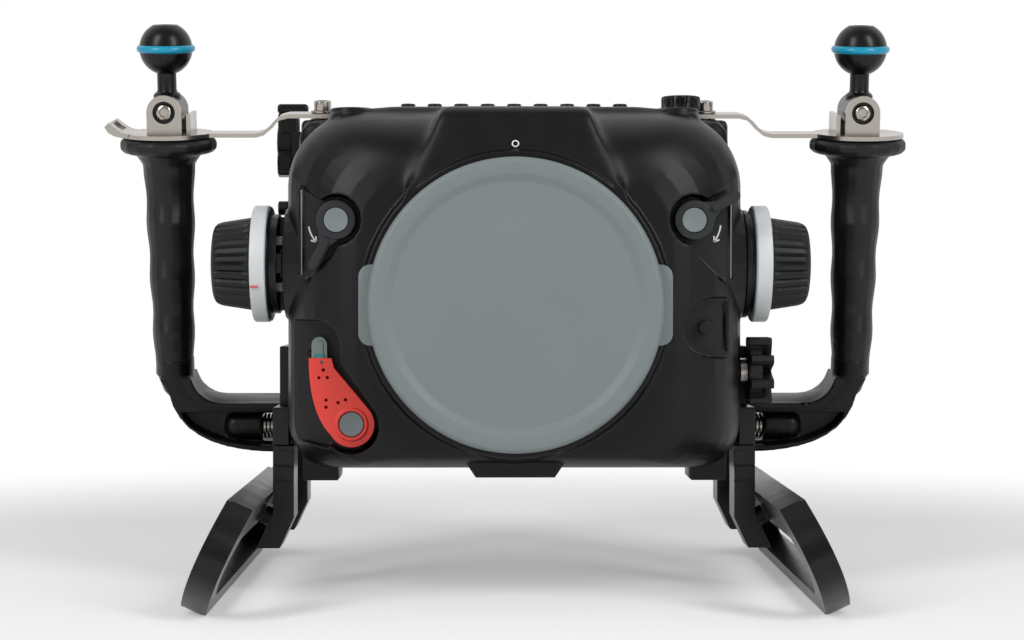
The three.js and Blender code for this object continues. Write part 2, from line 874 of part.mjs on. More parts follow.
// Holes for everything that passes through the walls
function shaftHoles() {
  const small = (axis, place, from, to, radius) =>
    rod(axis, place, from, to, radius + fit, radius + fit, smallSides);
  const reachIn = overrun + wall + stemInside;
  const buttons = Array.from({ length: buttonCount }, (_, i) =>
    small('z', [buttonPlace(i), buttonDepth], bodyTop - reachIn - wall, bossTop + overrun,
      buttonStemRadius),
  );
  const seats = Array.from({ length: buttonCount }, (_, i) =>
    small('z', [buttonPlace(i), buttonDepth], bodyTop - buttonSeatDepth, bossTop + overrun, buttonRadius),
  );
  const locks = [-1, 1].map((side) =>
    small('y', [side * lockSpan, lockHeight], lockPocketFloor - overrun,
      lockPocketFloor + pocketWall + frontWall, lockShaftRadius),
  );
  const sides = [
    [-1, knobDepth, knobHeight, knobShaftRadius],
    [1, knobDepth, knobHeight, knobShaftRadius],
    [1, wheelDepth, wheelHeight, wheelShaftRadius],
    [-1, sideButtonDepth, sideButtonHeight, buttonStemRadius],
  ].map(([side, depth, height, radius]) =>
    sided(side, small('x', [depth, height], bodyHalfWidth - reachIn, sideBossFace + overrun, radius)),
  );
  return [
    ...buttons,
    ...seats,
    ...locks,
    ...sides,
    small('y', [-recordHubSpan, recordHubHeight], recordPocketFloor - overrun,
      recordPocketFloor + pocketWall + frontWall, recordShaftRadius),
    small('y', [releaseSpan, releaseHeight], releasePocketFloor - overrun,
      releasePocketFloor + pocketWall + frontWall, buttonStemRadius),
    small('z', [dialSpan, dialDepth], domeTopAt(dialSpan) - reachIn - topBossHeight,
      bossTop + overrun, dialShaftRadius),
  ];
}

function buttonPlace(index) {
  return (index - (buttonCount - 1) / 2) * buttonPitch;
}

// Hinge of the back cover: knuckles of the shell at both ends, of the cover between them
function hingeKnuckles(owner) {
  const spans =
    owner === 'shell'
      ? [[hingeBottom, hingeBottom + knuckleHeight], [hingeTop - knuckleHeight, hingeTop]]
      : [[hingeBottom + knuckleHeight + fit, hingeTop - knuckleHeight - fit]];
  return spans.map(([low, high]) => {
    const barrel = rod('z', [hingeSpan, seamPlane], low, high, hingeRadius);
    const [near, far] =
      owner === 'shell'
        ? [seamPlane - 2 * hingeRadius, seamPlane]
        : [coverFace, coverFace + 2 * hingeRadius];
    const web = block([rearHalfWidth - wall / 2, near, low], [hingeSpan, far, high]);
    const gapFrom = owner === 'shell' ? seamPlane : coverFace - 2 * hingeRadius;
    const gap = block(
      [rearHalfWidth - overrun, gapFrom, low - overrun],
      [hingeSpan - hingePinRadius - overrun, gapFrom + 2 * hingeRadius, high + overrun],
    );
    return cut(joined(barrel, web), gap);
  });
}

function hingeBore() {
  return rod('z', [hingeSpan, seamPlane], hingeBottom - overrun, hingeTop + overrun,
    hingePinRadius + fit, hingePinRadius + fit, smallSides);
}

function hingePin() {
  return joined(
    rod('z', [hingeSpan, seamPlane], hingeBottom - overrun, hingeTop + fit, hingePinRadius,
      hingePinRadius, smallSides),
    rod('z', [hingeSpan, seamPlane], hingeTop + fit, hingeTop + fit + hingePinHead,
      hingeRadius - overrun / 2),
  );
}

// Back cover with a window
function windowShape(grow) {
  const half = windowHalfWidth + grow;
  const low = windowBottom - grow;
  const high = windowTop + grow;
  const radius = windowRadius + grow;
  const shape = new THREE.Shape();
  shape.moveTo(half - radius, low);
  shape.absarc(half - radius, low + radius, radius, -Math.PI / 2, 0, false);
  shape.absarc(half - radius, high - radius, radius, 0, Math.PI / 2, false);
  shape.absarc(radius - half, high - radius, radius, Math.PI / 2, Math.PI, false);
  shape.absarc(radius - half, low + radius, radius, Math.PI, Math.PI * 1.5, false);
  return shape;
}

function coverBody(inset, front, back, rounding) {
  const ringAt = (depth, tuck) =>
    bodyRing(
      depth,
      rearHalfWidth - inset - tuck,
      bodyBottom + inset + tuck,
      rearTop - inset - tuck,
      bottomRadius - Math.min(inset + tuck, bottomRadius / 2),
      rearTopRadius - Math.min(inset + tuck, rearTopRadius / 2),
    );
  const rings = [];
  for (let step = 0; step <= domeSteps; step += 1) {
    const angle = (step / domeSteps) * (Math.PI / 2);
    rings.push(ringAt(back - rounding * (1 - Math.cos(angle)), rounding * (1 - Math.sin(angle))));
  }
  rings.push(ringAt(front, 0));
  return loft(rings);
}

const latchLug = {
  low: latchHeight - latchLower - latchLowerRadius,
  high: latchHeight - latchLower + latchLowerRadius,
};

function backCover() {
  const lug = block(
    [-latchInner - latchBaseThickness, coverFace, latchLug.low],
    [-rearHalfWidth + coverWall, coverFace + latchBaseLength / 2, latchLug.high],
  );
  const body = joined(
    cut(
      coverBody(0, coverFace, coverBack, coverRounding),
      coverBody(coverWall, coverFace - overrun, coverBack - coverWall, coverRounding / 2),
    ),
    lug,
    ...hingeKnuckles('cover'),
  );
  return cut(
    body,
    slabAlongY(windowShape(0), coverBack - windowThickness - fit, coverBack + overrun),
    slabAlongY(windowShape(-windowLedge), coverFace, coverBack),
    sealRing(fit, coverFace - overrun, coverFace + sealDepth + fit),
    hingeBore(),
  );
}

function sealRing(grow, front, back) {
  const side = (inset) =>
    loft([back, front].map((depth) =>
      bodyRing(depth, rearHalfWidth - inset, bodyBottom + inset, rearTop - inset,
        bottomRadius - inset, rearTopRadius - inset)));
  return cut(side(sealInset - grow), side(sealInset + sealWidth + grow));
}

// Latch of the back cover, on the left side near the top: a turning lever on a fixed base
function latchBase() {
  const half = latchBaseHeight / 2;
  return cut(
    block(
      [-latchInner - latchBaseThickness, seamPlane - latchBaseLength, latchHeight - half],
      [-rearHalfWidth - fit, seamPlane - fit, latchHeight + half / 3],
    ),
    rod('x', [latchDepth, latchHeight], -latchInner - latchBaseThickness - overrun,
      -latchInner - latchBaseThickness + latchShaftLength + fit, latchShaftRadius + fit,
      latchShaftRadius + fit, smallSides),
  );
}

function latchLever() {
  const outer = -latchInner - latchBaseThickness - fit - latchThickness;
  const inner = outer + latchThickness;
  const top = latchHeight + latchUpper;
  const low = latchHeight - latchLower;
  const through = (depth, height, radius) =>
    rod('x', [depth, height], outer, inner, radius, radius, smallSides);
  return joined(
    through(latchDepth, latchHeight, latchRadius),
    through(latchDepth + latchRadius, low, latchLowerRadius),
    through(latchDepth, low, latchLowerRadius),
    block(
      [outer, latchDepth, low - latchLowerRadius],
      [inner, latchDepth + latchRadius, low + latchLowerRadius],
    ),
    block(
      [outer + latchThickness / 5, latchDepth - latchArmWidth / 2, low],
      [inner, latchDepth + latchArmWidth / 2, top],
    ),
    rod('x', [latchDepth, top], outer, inner + latchBaseThickness, latchBarRadius,
      latchBarRadius, smallSides),
    rod('x', [latchDepth, latchHeight], inner - overrun, inner + latchShaftLength,
      latchShaftRadius, latchShaftRadius, smallSides),
  );
}

// Port ring with bayonet lugs, and the cap that closes it
function portRing() {
  const back = collarFace + portRingDepth;
  const at = ['y', [0, portHeight]];
  const inner = portRingRadius - portRingWidth;
  const lugs = Array.from({ length: bayonetLugs }, (_, i) => {
    const lug = new THREE.BoxGeometry(bayonetLugWidth, bayonetLugDepth, bayonetLugReach + portRingWidth);
    lug.translate(0, back - bayonetLugDepth / 2, inner + (portRingWidth - bayonetLugReach) / 2);
    lug.rotateY((i / bayonetLugs) * 2 * Math.PI).translate(0, 0, portHeight);
    return solid(lug).intersect(
      rod(...at, back - bayonetLugDepth, back, portRingRadius, portRingRadius, wideSides),
    );
  });
  const ring = cut(
    rod(...at, collarFace, back, portRingRadius, portRingRadius, wideSides),
    rod(...at, collarFace - overrun, back + overrun, inner, inner, wideSides),
  );
  return joined(ring, ...lugs);
}

function portCap() {
  const back = collarFace - fit;
  const front = back - capThickness;
  const at = ['y', [0, portHeight]];
  const plug = portRingRadius - portRingWidth - fit;
  const tab = outline([
    [capRadius + capTabReach, portHeight - capTabHeight / 2],
    [capRadius + capTabReach, portHeight + capTabHeight / 2],
    [capRadius / 2, portHeight + capTabHeight],
    [-capRadius / 2, portHeight + capTabHeight],
    [-capRadius - capTabReach, portHeight + capTabHeight / 2],
    [-capRadius - capTabReach, portHeight - capTabHeight / 2],
    [-capRadius / 2, portHeight - capTabHeight],
    [capRadius / 2, portHeight - capTabHeight],
  ]);
  const body = joined(
    rod(...at, front, front + capRounding, capRadius - capRounding, capRadius, wideSides),
    rod(...at, front + capRounding, back, capRadius, capRadius, wideSides),
    rod(...at, back - overrun, back + capPlugDepth - bayonetLugDepth, plug, plug, wideSides),
    slabAlongY(tab, back - capTabThickness, back),
  );
  const inner = capRadius - capRimWidth;
  return cut(
    body,
    rod(...at, front - overrun, front + capRecess, inner, inner, wideSides),
    rod(...at, back - overrun, back + capPlugDepth, plug - capPlugWall, plug - capPlugWall, wideSides),
  );
}

// A lock lever: hub, arm and shaft, with a hollow for its centre disc
function lockLever(side, armAngle) {
  const back = lockPocketFloor - fit;
  const front = back - lockHubThickness;
  const at = ['y', [0, 0]];
  const arm = block(
    [0, front, -lockArmWidth / 2],
    [lockArmLength, front + lockArmThickness, lockArmWidth / 2],
  ).rotate([0, -armAngle, 0]);
  const shape = cut(
    joined(
      rod(...at, front, back, lockHubRadius),
      arm,
      rod(...at, back - overrun, lockPocketFloor + pocketWall + frontWall / 2, lockShaftRadius,
        lockShaftRadius, smallSides),
    ),
    rod(...at, front - overrun, front + lockDiscDepth + fit, lockDiscRadius + fit),
  );
  const mesh = piece(side > 0 ? 'right_lock_lever' : 'left_lock_lever', shape, blackMetal);
  mesh.position.set(side * lockSpan, 0, lockHeight);
  return mesh;
}

function lockDisc(side) {
  const front = lockPocketFloor - fit - lockHubThickness;
  const shape = rod('y', [0, 0], front, front + lockDiscDepth, lockDiscRadius);
  const mesh = piece(side > 0 ? 'right_lock_disc' : 'left_lock_disc', shape, greyPlastic);
  mesh.position.set(side * lockSpan, 0, lockHeight);
  return mesh;
}

// The red lever, drawn about its hub
const recordBack = recordPocketFloor - fit;
const recordFront = recordBack - recordThickness;

function recordLever() {
  const drop = new THREE.Shape();
  const [turnFrom, turnTo] = recordTurnShares.map((turn) => Math.PI * turn);
  drop.moveTo(-recordEndInner, recordLength);
  drop.lineTo(-recordEndOuter, recordLength);
  drop.quadraticCurveTo(-recordEndOuter, recordHubRadius / 2,
    recordHubRadius * Math.cos(turnFrom), recordHubRadius * Math.sin(turnFrom));
  drop.absarc(0, 0, recordHubRadius, turnFrom, turnTo, false);
  drop.lineTo(-recordEndInner + recordEndInner / 8, recordLength - recordEndInner / 2);
  const shape = cut(
    joined(
      slabAlongY(drop, recordFront, recordBack, smallSides),
      rod('y', [0, 0], recordBack - overrun, recordPocketFloor + pocketWall + frontWall / 2,
        recordShaftRadius, recordShaftRadius, smallSides),
    ),
    rod('y', [0, 0], recordFront - overrun, recordFront + recordDiscDepth + fit,
      recordDiscRadius + fit),
    recordTipSolid(fit, recordTipDepth),
  );
  return atRecordHub('record_lever', shape, redPlastic);
}

function atRecordHub(name, shape, finish) {
  const mesh = piece(name, shape, finish);
  mesh.position.set(-recordHubSpan, 0, recordHubHeight);
  return mesh;
}

function recordTipSolid(grow, depthInside) {
  const middle = (recordFront + recordBack) / 2;
  const low = recordLength - depthInside - grow;
  const high = recordLength + recordTipLength - recordTipRadius;
  const radius = recordTipRadius + grow;
  const dome = new THREE.SphereGeometry(radius, smallSides, smallSides / 2);
  dome.rotateX(Math.PI / 2);
  return joined(
    rod('z', [-recordTipOffset, middle], low, high, radius, radius, smallSides),
    solid(dome.translate(-recordTipOffset, middle, high)),
  );
}

// A push button with its stem, drawn along +Z with its seat at zero
function buttonSolid(radius, height, standOff, stemLength) {
  return joined(
    rod('z', [0, 0], standOff, standOff + height, radius, radius, smallSides),
    rod('z', [0, 0], -stemLength, standOff + overrun / 2, buttonStemRadius, buttonStemRadius,
      smallSides),
  );
}

function topButton(index) {
  const shape = buttonSolid(buttonRadius, buttonHeight, buttonStandOff, wall + stemInside);
  const mesh = piece(`top_button_${index + 1}`, shape, blackPlastic);
  mesh.position.set(buttonPlace(index), buttonDepth, bodyTop);
  return mesh;
}

function sideButton() {
  const shape = buttonSolid(buttonRadius, sideButtonLength, sideButtonStandOff, wall + stemInside);
  const mesh = piece('side_button', shape, blackPlastic);
  mesh.position.set(-bodyHalfWidth, sideButtonDepth, sideButtonHeight);
  mesh.rotation.y = -Math.PI / 2;
  return mesh;
}

function releaseButton() {
  const shape = buttonSolid(releaseButtonRadius, releaseButtonHeight, releaseButtonStandOff,
    pocketWall + stemInside);
  const mesh = piece('lens_release_button', shape, blackPlastic);
  mesh.position.set(releaseSpan, releasePocketFloor, releaseHeight);
  mesh.rotation.x = Math.PI / 2;
  return mesh;
}

// A ribbed cone along +X between two stations, with its far edge rounded
function ribbed(from, to, radius, endRadius, ribs, ribDepth, rounding) {
  const points = 2 * ribs;
  const ringAt = (station, size) =>
    Array.from({ length: points }, (_, i) => {
      const angle = (i / points) * 2 * Math.PI;
      const reach = size - (i % 2 ? ribDepth : 0);
      return [station, reach * Math.cos(angle), reach * Math.sin(angle)];
    });
  return loft([
    ringAt(from, radius),
    ringAt(to - rounding, endRadius),
    ringAt(to, endRadius - rounding),
  ]);
}

function topDial() {
  const low = bossTop + fit;
  const knob = ribbed(low, low + dialHeight, dialRadius, dialRadius, dialFlutes, dialFluteDepth,
    dialFluteDepth).rotate([0, -90, 0]);
  const inside = domeTopAt(dialSpan) - wall - stemInside;
  const shape = joined(
    knob,
    rod('z', [0, 0], inside, low + overrun, dialShaftRadius, dialShaftRadius, smallSides),
  );
  const mesh = piece('top_dial', shape, blackMetal);
  mesh.position.set(dialSpan, dialDepth, 0);
  return mesh;
}

// Knob parts, drawn along +X from the boss face outwards
const knobStand = knobPostLength + knobBaseThickness;

function standSolid() {
  const plate = rod('x', [0, 0], fit + knobPostLength, fit + knobStand, knobBaseRadius);
  const hub = rod('x', [0, 0], fit, fit + knobStand, knobHubRadius);
  const postReach = (sideBossRadius - sideBossTaper + knobHubRadius) / 2;
  const posts = [0, 1, 2, 3].map((quarter) => {
    const post = new THREE.BoxGeometry(knobPostLength + overrun, knobPostWidth, knobPostWidth);
    post.translate(fit + (knobPostLength + overrun) / 2, 0, postReach);
    return solid(post.rotateX((quarter * Math.PI) / 2));
  });
  return cut(joined(plate, hub, ...posts), shaftBore(fit + knobStand));
}

function shaftBore(to) {
  return rod('x', [0, 0], -overrun, to + overrun, knobShaftRadius + fit, knobShaftRadius + fit,
    smallSides);
}

function collarSolid() {
  const step = collarBaseThickness / 2;
  return cut(
    joined(
      rod('x', [0, 0], fit, fit + step, sideBossRadius - sideBossTaper - overrun / 4),
      rod('x', [0, 0], fit, fit + collarBaseThickness, knobBaseRadius),
    ),
    shaftBore(fit + collarBaseThickness),
  );
}

function knobRingSolid(from) {
  return cut(
    rod('x', [0, 0], from, from + knobRingThickness, knobRingRadius, knobRingRadius, wideSides),
    rod('x', [0, 0], from - overrun, from + knobRingThickness + overrun, knobRingBore),
  );
}

function knobGripSolid(from) {
  const start = from + knobRingThickness + fit;
  return joined(
    ribbed(start, start + knobGripLength, knobGripRadius, knobGripEndRadius, knobRibs,
      knobRibDepth, knobEndRounding),
    rod('x', [0, 0], from, start + overrun, knobSpigotRadius),
    rod('x', [0, 0], -sideBossReach - wall - stemInside, from + overrun, knobShaftRadius,
      knobShaftRadius, smallSides),
  );
}

function knobs() {
  const side = (sign, parts) => {
    const group = new THREE.Group();
    group.position.set(sign * sideBossFace, knobDepth, knobHeight);
    group.scale.x = sign;
    group.add(...parts);
    return group;
  };
  const leftFrom = fit + knobStand + knobRingGap;
  const rightFrom = fit + collarBaseThickness + knobRingGap;
  return [
    side(-1, [
      piece('left_knob_stand', standSolid(), blackMetal),
      piece('left_knob_ring', knobRingSolid(leftFrom), palePlastic),
      piece('left_knob_grip', knobGripSolid(leftFrom), blackRubber),
    ]),
    side(1, [
      piece('right_knob_collar', collarSolid(), blackMetal),
      piece('right_knob_ring', knobRingSolid(rightFrom), palePlastic),
      piece('right_knob_grip', knobGripSolid(rightFrom), blackRubber),
    ]),
  ];
}

// Lobed wheel and its gland, on the right side
function controlWheel() {
  const from = railInner + glandLength + fit;
  const points = [];
  for (let lobe = 0; lobe < wheelLobes; lobe += 1) {
    for (const [turn, reach] of wheelLobeShares) {
      const angle = ((lobe + turn) / wheelLobes) * 2 * Math.PI;
      const radius = wheelRootRadius + (wheelRadius - wheelRootRadius) * reach;
      points.push([radius * Math.cos(angle), radius * Math.sin(angle)]);
    }
  }
  const shape = joined(
    slabAlongX(outline(points), from, from + wheelThickness),
    rod('x', [0, 0], from, from + wheelCoreThickness, wheelCoreRadius),
    rod('x', [0, 0], bodyHalfWidth - wall - stemInside, from + overrun, wheelShaftRadius,
      wheelShaftRadius, smallSides),
  );
  const mesh = piece('control_wheel', shape, blackMetal);
  mesh.position.set(0, wheelDepth, wheelHeight);
  return mesh;
}

function wheelGland() {
  const shape = cut(
    rod('x', [0, 0], railInner, railInner + glandLength, glandRadius),
    rod('x', [0, 0], railInner - overrun, railInner + glandLength + overrun,
      wheelShaftRadius + fit, wheelShaftRadius + fit, smallSides),
  );
  const mesh = piece('control_wheel_gland', shape, stainless);
  mesh.position.set(0, wheelDepth, wheelHeight);
  return mesh;
}

// Side rail: a long bar with a thinner block on it, against the body's side
function sideRail() {
  return joined(
    block([railInner, railFront, railBottom], [railOuter, railBack, railTop]),
    block(
      [railInner, railBlockFront, railTop - overrun],
      [railInner + railBlockThickness, railBlockBack, railBlockTop],
    ),
  );
}

// A point of the plane of a leg loop: height along the loop and distance out from it
function loopPoint(height, out) {
  const lean = radians(legLean);
  return [
    loopFoot - height * Math.sin(lean) + out * Math.cos(lean),
    height * Math.cos(lean) + out * Math.sin(lean) - loopFlat,
  ];
}

// A leg: straight down beside the body, then leaning out along the loop
function legArm(front) {
  const lean = radians(legLean);
  const inner = railInner - legInset;
  const outer = inner + legThickness;
  const knee = (loopFoot - legGap * Math.cos(lean) - outer) / Math.sin(lean);
  const innerKnee = (loopFoot - (legGap + legThickness) * Math.cos(lean) - inner) / Math.sin(lean);
  const [footX, footZ] = loopPoint(legFoot, -legGap);
  const inward = legThickness / Math.cos(lean);
  const shape = outline([
    [inner, railBottom - fit],
    [inner, loopPoint(innerKnee, -legGap - legThickness)[1]],
    [footX - inward, footZ],
    [footX, footZ],
    [outer, loopPoint(knee, -legGap)[1]],
    [outer, railBottom - fit],
  ]);
  const boss = new THREE.CylinderGeometry(legBossRadius, legBossRadius, legGap - fit + overrun, smallSides);
  boss.rotateZ(-Math.PI / 2).translate(-fit - (legGap - fit + overrun) / 2, 0, 0);
  boss.rotateY(-lean);
  const [bossX, bossZ] = loopPoint(legBossHeight, 0);
  boss.translate(bossX, front + legWidth / 2, bossZ);
  return joined(slabAlongY(shape, front, front + legWidth), solid(boss));
}

// A leg loop, drawn flat in Y and height, then leaned out and cut flat where it stands
function legLoop() {
  const noseControl = loopFront - (loopFootFront - loopFront) / 2;
  const tailControl = loopBack + (loopBack - loopFootBack) / 2;
  const outer = new THREE.Shape();
  outer.moveTo(loopFootFront, 0);
  outer.lineTo(loopFootBack, 0);
  outer.quadraticCurveTo(tailControl, loopBar / 2, loopFootBack - loopBar / 2, loopBar * loopTailShare);
  outer.lineTo(loopRoofBack, loopHeight);
  outer.lineTo(loopRoofFront, loopHeight);
  outer.quadraticCurveTo(noseControl, loopNoseRise, loopFootFront, 0);
  const hole = new THREE.Path();
  const holeTop = loopHeight - loopRoofBar;
  hole.moveTo(loopFootFront + loopBar / 3, loopBar);
  hole.quadraticCurveTo(noseControl + loopNoseShare * loopBar, loopNoseRise, loopRoofFront + loopBar, holeTop);
  hole.lineTo(loopRoofBack - loopRoofBar / 2, holeTop);
  hole.lineTo(loopFootBack - loopHeelShare * loopBar, loopBar);
  outer.holes.push(hole);
  const geometry = new THREE.ExtrudeGeometry(outer, {
    depth: loopThickness,
    bevelEnabled: false,
    curveSegments: 3 * cornerSteps,
  });
  const lean = radians(legLean);
  const turn = new THREE.Matrix4().makeBasis(
    new THREE.Vector3(0, 1, 0),
    new THREE.Vector3(-Math.sin(lean), 0, Math.cos(lean)),
    new THREE.Vector3(Math.cos(lean), 0, Math.sin(lean)),
  );
  geometry.applyMatrix4(turn).translate(loopFoot, 0, -loopFlat);
  const floor = block(
    [0, loopFront - overrun, -loopHeight],
    [loopFoot + loopHeight, loopBack + overrun, 0],
  );
  return cut(solid(geometry), floor);
}

// Handle arm: a bar that turns up into the grip, with a hollowed gusset outside the turn
function handleArm() {
  const half = armThickness / 2;
  const inner = armReach - armUprightWidth;
  const shape = new THREE.Shape();
  shape.moveTo(0, armGussetShare * armHalfHeight - armHalfHeight);
  const [first, second, third] = armReachShares.map((share) => share * armReach);
  shape.bezierCurveTo(first, armGussetShare * armHalfHeight - armHalfHeight,
    second, -armHalfHeight * armLowShare, third, armUprightTop * armTopShare);
  shape.lineTo(armReach, armUprightTop);
  shape.lineTo(inner, armUprightTop);
  shape.quadraticCurveTo(inner - armInnerRadius / 6, armHalfHeight, inner - armInnerRadius, armHalfHeight);
  shape.lineTo(0, armHalfHeight);
  const low = armGussetShare * armHalfHeight - armHalfHeight + armBottomFlange;
  const high = armHalfHeight - armTopFlange;
  const pocket = new THREE.Shape();
  pocket.moveTo(-overrun, low);
  const [start, turn, end] = armPocketShares.map((share) => share * armReach);
  pocket.bezierCurveTo(start, low, turn, -armHalfHeight * armPocketLowShare, end, high);
  pocket.lineTo(-overrun, high);
  const bar = cut(
    slabAlongY(shape, -half, half, armSteps),
    slabAlongY(pocket, -half - overrun, -armWeb / 2, armSteps),
    slabAlongY(pocket, armWeb / 2, half + overrun, armSteps),
  );
  return joined(
    bar,
    rod('z', [gripCentre, 0], armUprightTop - overrun, coreTop, coreRadius),
  );
}

// Moulded grip: an oval that narrows downwards, with finger hollows and a flange on top
function handleGrip() {
  const low = armUprightTop + fit;
  const neck = flangeTop - flangeThickness;
  const points = smallSides + smallSides / 2;
  const ringAt = (level, halfWidth, halfDepth) =>
    Array.from({ length: points }, (_, i) => {
      const angle = (i / points) * 2 * Math.PI;
      return [gripCentre + halfWidth * Math.cos(angle), halfDepth * Math.sin(angle), level];
    });
  const rings = [];
  for (let step = 0; step <= gripLevels; step += 1) {
    const share = step / gripLevels;
    const level = low + (neck - low) * share;
    const wave = Math.cos((2 * Math.PI * (level - low - gripFirstRidge)) / gripRidgePitch);
    const swell = gripRidgeHeight * wave;
    const fillet = Math.max(0, 1 - (neck - level) / flangeFillet);
    const flare = (flangeRadius - gripTopHalfDepth) * flangeNeckShare * (1 - Math.sqrt(1 - fillet ** 2));
    rings.push(ringAt(
      level,
      gripBottomHalfWidth + (gripTopHalfWidth - gripBottomHalfWidth) * share + swell / 2 + flare,
      gripBottomHalfDepth + (gripTopHalfDepth - gripBottomHalfDepth) * share + swell + flare,
    ));
  }
  const edge = flangeThickness / 4;
  rings.push(ringAt(neck + edge / 2, flangeRadius - edge, flangeRadius - edge));
  rings.push(ringAt(neck + 1.5 * edge, flangeRadius, flangeRadius));
  rings.push(ringAt(flangeTop - edge, flangeRadius, flangeRadius));
  rings.push(ringAt(flangeTop, flangeRadius - edge, flangeRadius - edge));
  return cut(
    loft(rings),
    rod('z', [gripCentre, 0], low - overrun, flangeTop + overrun, coreRadius + fit),
  );
}

// Stainless plate: pad on the flange, two ears, and a strap to the shoulder of the body
function handlePlate(withCurl) {
  const half = strapWidth / 2;
  const middle = (strapBendOuter + strapBendInner) / 2;
  const ribbon = new THREE.Shape();
  ribbon.moveTo(gripCentre, plateBottom);
  ribbon.lineTo(gripCentre, plateTop);
  ribbon.lineTo(strapBendOuter, plateTop);
  ribbon.bezierCurveTo(middle, plateTop, middle, plateTop + strapRise, strapBendInner,
    plateTop + strapRise);
  ribbon.lineTo(boltPlace - strapEndReach, plateTop + strapRise);
  ribbon.lineTo(boltPlace - strapEndReach, strapBottom);
  ribbon.lineTo(strapBendInner, strapBottom);
  ribbon.bezierCurveTo(middle, strapBottom, middle, plateBottom, strapBendOuter, plateBottom);
  const pad = rod('z', [gripCentre, 0], plateBottom, plateTop, platePadRadius);
  const wallOuter = gripCentre - earWallSpan;
  const lowWall = block(
    [wallOuter, -earGap / 2, plateBottom],
    [wallOuter + plateThickness, earGap / 2, pivotHeight - plateThickness / 2],
  );
  const parts = [slabAlongY(ribbon, -half, half), pad, ...[-1, 1].map(ear), lowWall];
  if (withCurl) parts.push(curl());
  return cut(
    joined(...parts),
    rod('z', [boltPlace, 0], strapBottom - overrun, strapBottom + plateThickness + overrun,
      boltHoleRadius, boltHoleRadius, smallSides),
  );
}

// One ear of the plate: the front one has the wide hole for the bolt's head
function ear(facing) {
  const near = earGap / 2;
  const shape = new THREE.Shape();
  shape.moveTo(gripCentre - earHalfWidth, plateBottom);
  shape.lineTo(gripCentre + earHalfWidth, plateBottom);
  shape.lineTo(gripCentre + earHalfWidth, pivotHeight);
  shape.absarc(gripCentre, pivotHeight, earHalfWidth, 0, Math.PI, false);
  shape.holes.push(discShape(gripCentre, pivotHeight, facing < 0 ? earHoleRadius : pivotRadius + fit));
  return facing < 0
    ? slabAlongY(shape, -near - plateThickness, -near, smallSides)
    : slabAlongY(shape, near, near + plateThickness, smallSides);
}

// Upturned outer end of the left plate, with a slot through it
function curl() {
  const start = gripCentre + platePadRadius / 2;
  const end = gripCentre + curlReach;
  const middle = (start + end) / 2;
  const ribbon = new THREE.Shape();
  ribbon.moveTo(start, plateBottom);
  ribbon.bezierCurveTo(middle, plateBottom, end - plateThickness, plateBottom, end,
    plateBottom + curlRise);
  ribbon.lineTo(end - plateThickness, plateTop + curlRise);
  ribbon.bezierCurveTo(middle, plateTop, middle, plateTop, start, plateTop);
  const slotMiddle = end - curlSlotLength;
  const slot = block(
    [slotMiddle - curlSlotLength / 2, -curlSlotWidth / 2, plateBottom - overrun],
    [slotMiddle + curlSlotLength / 2, curlSlotWidth / 2, plateTop + curlRise + overrun],
  );
  return cut(slabAlongY(ribbon, -curlWidth / 2, curlWidth / 2), slot);
}

// Socket head bolt and washer through the strap's end
function shoulderBolt() {
  const seat = strapBottom + plateThickness + fit;
  const head = seat + washerThickness;
  const at = ['z', [boltPlace, 0]];
  return cut(
    joined(
      rod(...at, seat, head, washerRadius, washerRadius, smallSides),
      rod(...at, head - fit, head + boltHeadHeight, boltHeadRadius, boltHeadRadius, smallSides),
      rod(...at, strapBottom - boltLength + overrun, head, boltRadius, boltRadius, smallSides),
    ),
    rod(...at, head + boltHeadHeight - boltSocketDepth, head + boltHeadHeight + overrun,
      boltSocketRadius, boltSocketRadius, 6),
  );
}

// Ball mount: a lug on the pivot bolt, a stem and a ball with a groove for its ring
function ballMount() {
  const lugHalf = earGap / 2 - fit;
  const lug = joined(
    rod('y', [0, 0], -lugHalf, lugHalf, lugRadius),
    rod('z', [0, 0], 0, lugShoulder, lugRadius, lugRadius, smallSides).intersect(
      block([-lugRadius, -lugHalf, 0], [lugRadius, lugHalf, lugShoulder]),
    ),
  );
  const sphere = new THREE.SphereGeometry(ballRadius, roundSides, smallSides);
  const ball = solid(sphere.rotateX(Math.PI / 2).translate(0, 0, ballRise)).intersect(
    block([-ballRadius, -ballRadius, 0], [ballRadius, ballRadius, ballRise + ballFlat]),
  );
  return cut(
    joined(lug, rod('z', [0, 0], 0, ballRise, stemRadius, stemRadius, smallSides), ball),
    ringSolid(ringTubeRadius + fit),
    rod('z', [0, 0], ballRise + ballFlat - ballHoleDepth, ballRise + ballFlat + overrun,
      ballHoleRadius, ballHoleRadius, smallSides),
    rod('y', [0, 0], -lugHalf - overrun, lugHalf + overrun, pivotRadius + fit,
      pivotRadius + fit, smallSides),
  );
}

function ringSolid(tube) {
  const geometry = new THREE.TorusGeometry(ringSeat, tube, smallSides / 2, roundSides);
  return solid(geometry.translate(0, 0, ballRise));
}

function pivotBolt() {
  const seat = earGap / 2;
  const outside = seat + plateThickness + fit;
  const turned = (from, to, radius, sides) => rod('y', [0, 0], from, to, radius, radius, sides);
  return joined(
    turned(-seat - pivotHeadLength, -seat, pivotHeadRadius, smallSides),
    turned(-seat - fit, outside + fit, pivotRadius, smallSides),
    turned(outside, outside + pivotNutLength, pivotNutRadius, 6),
  );
}

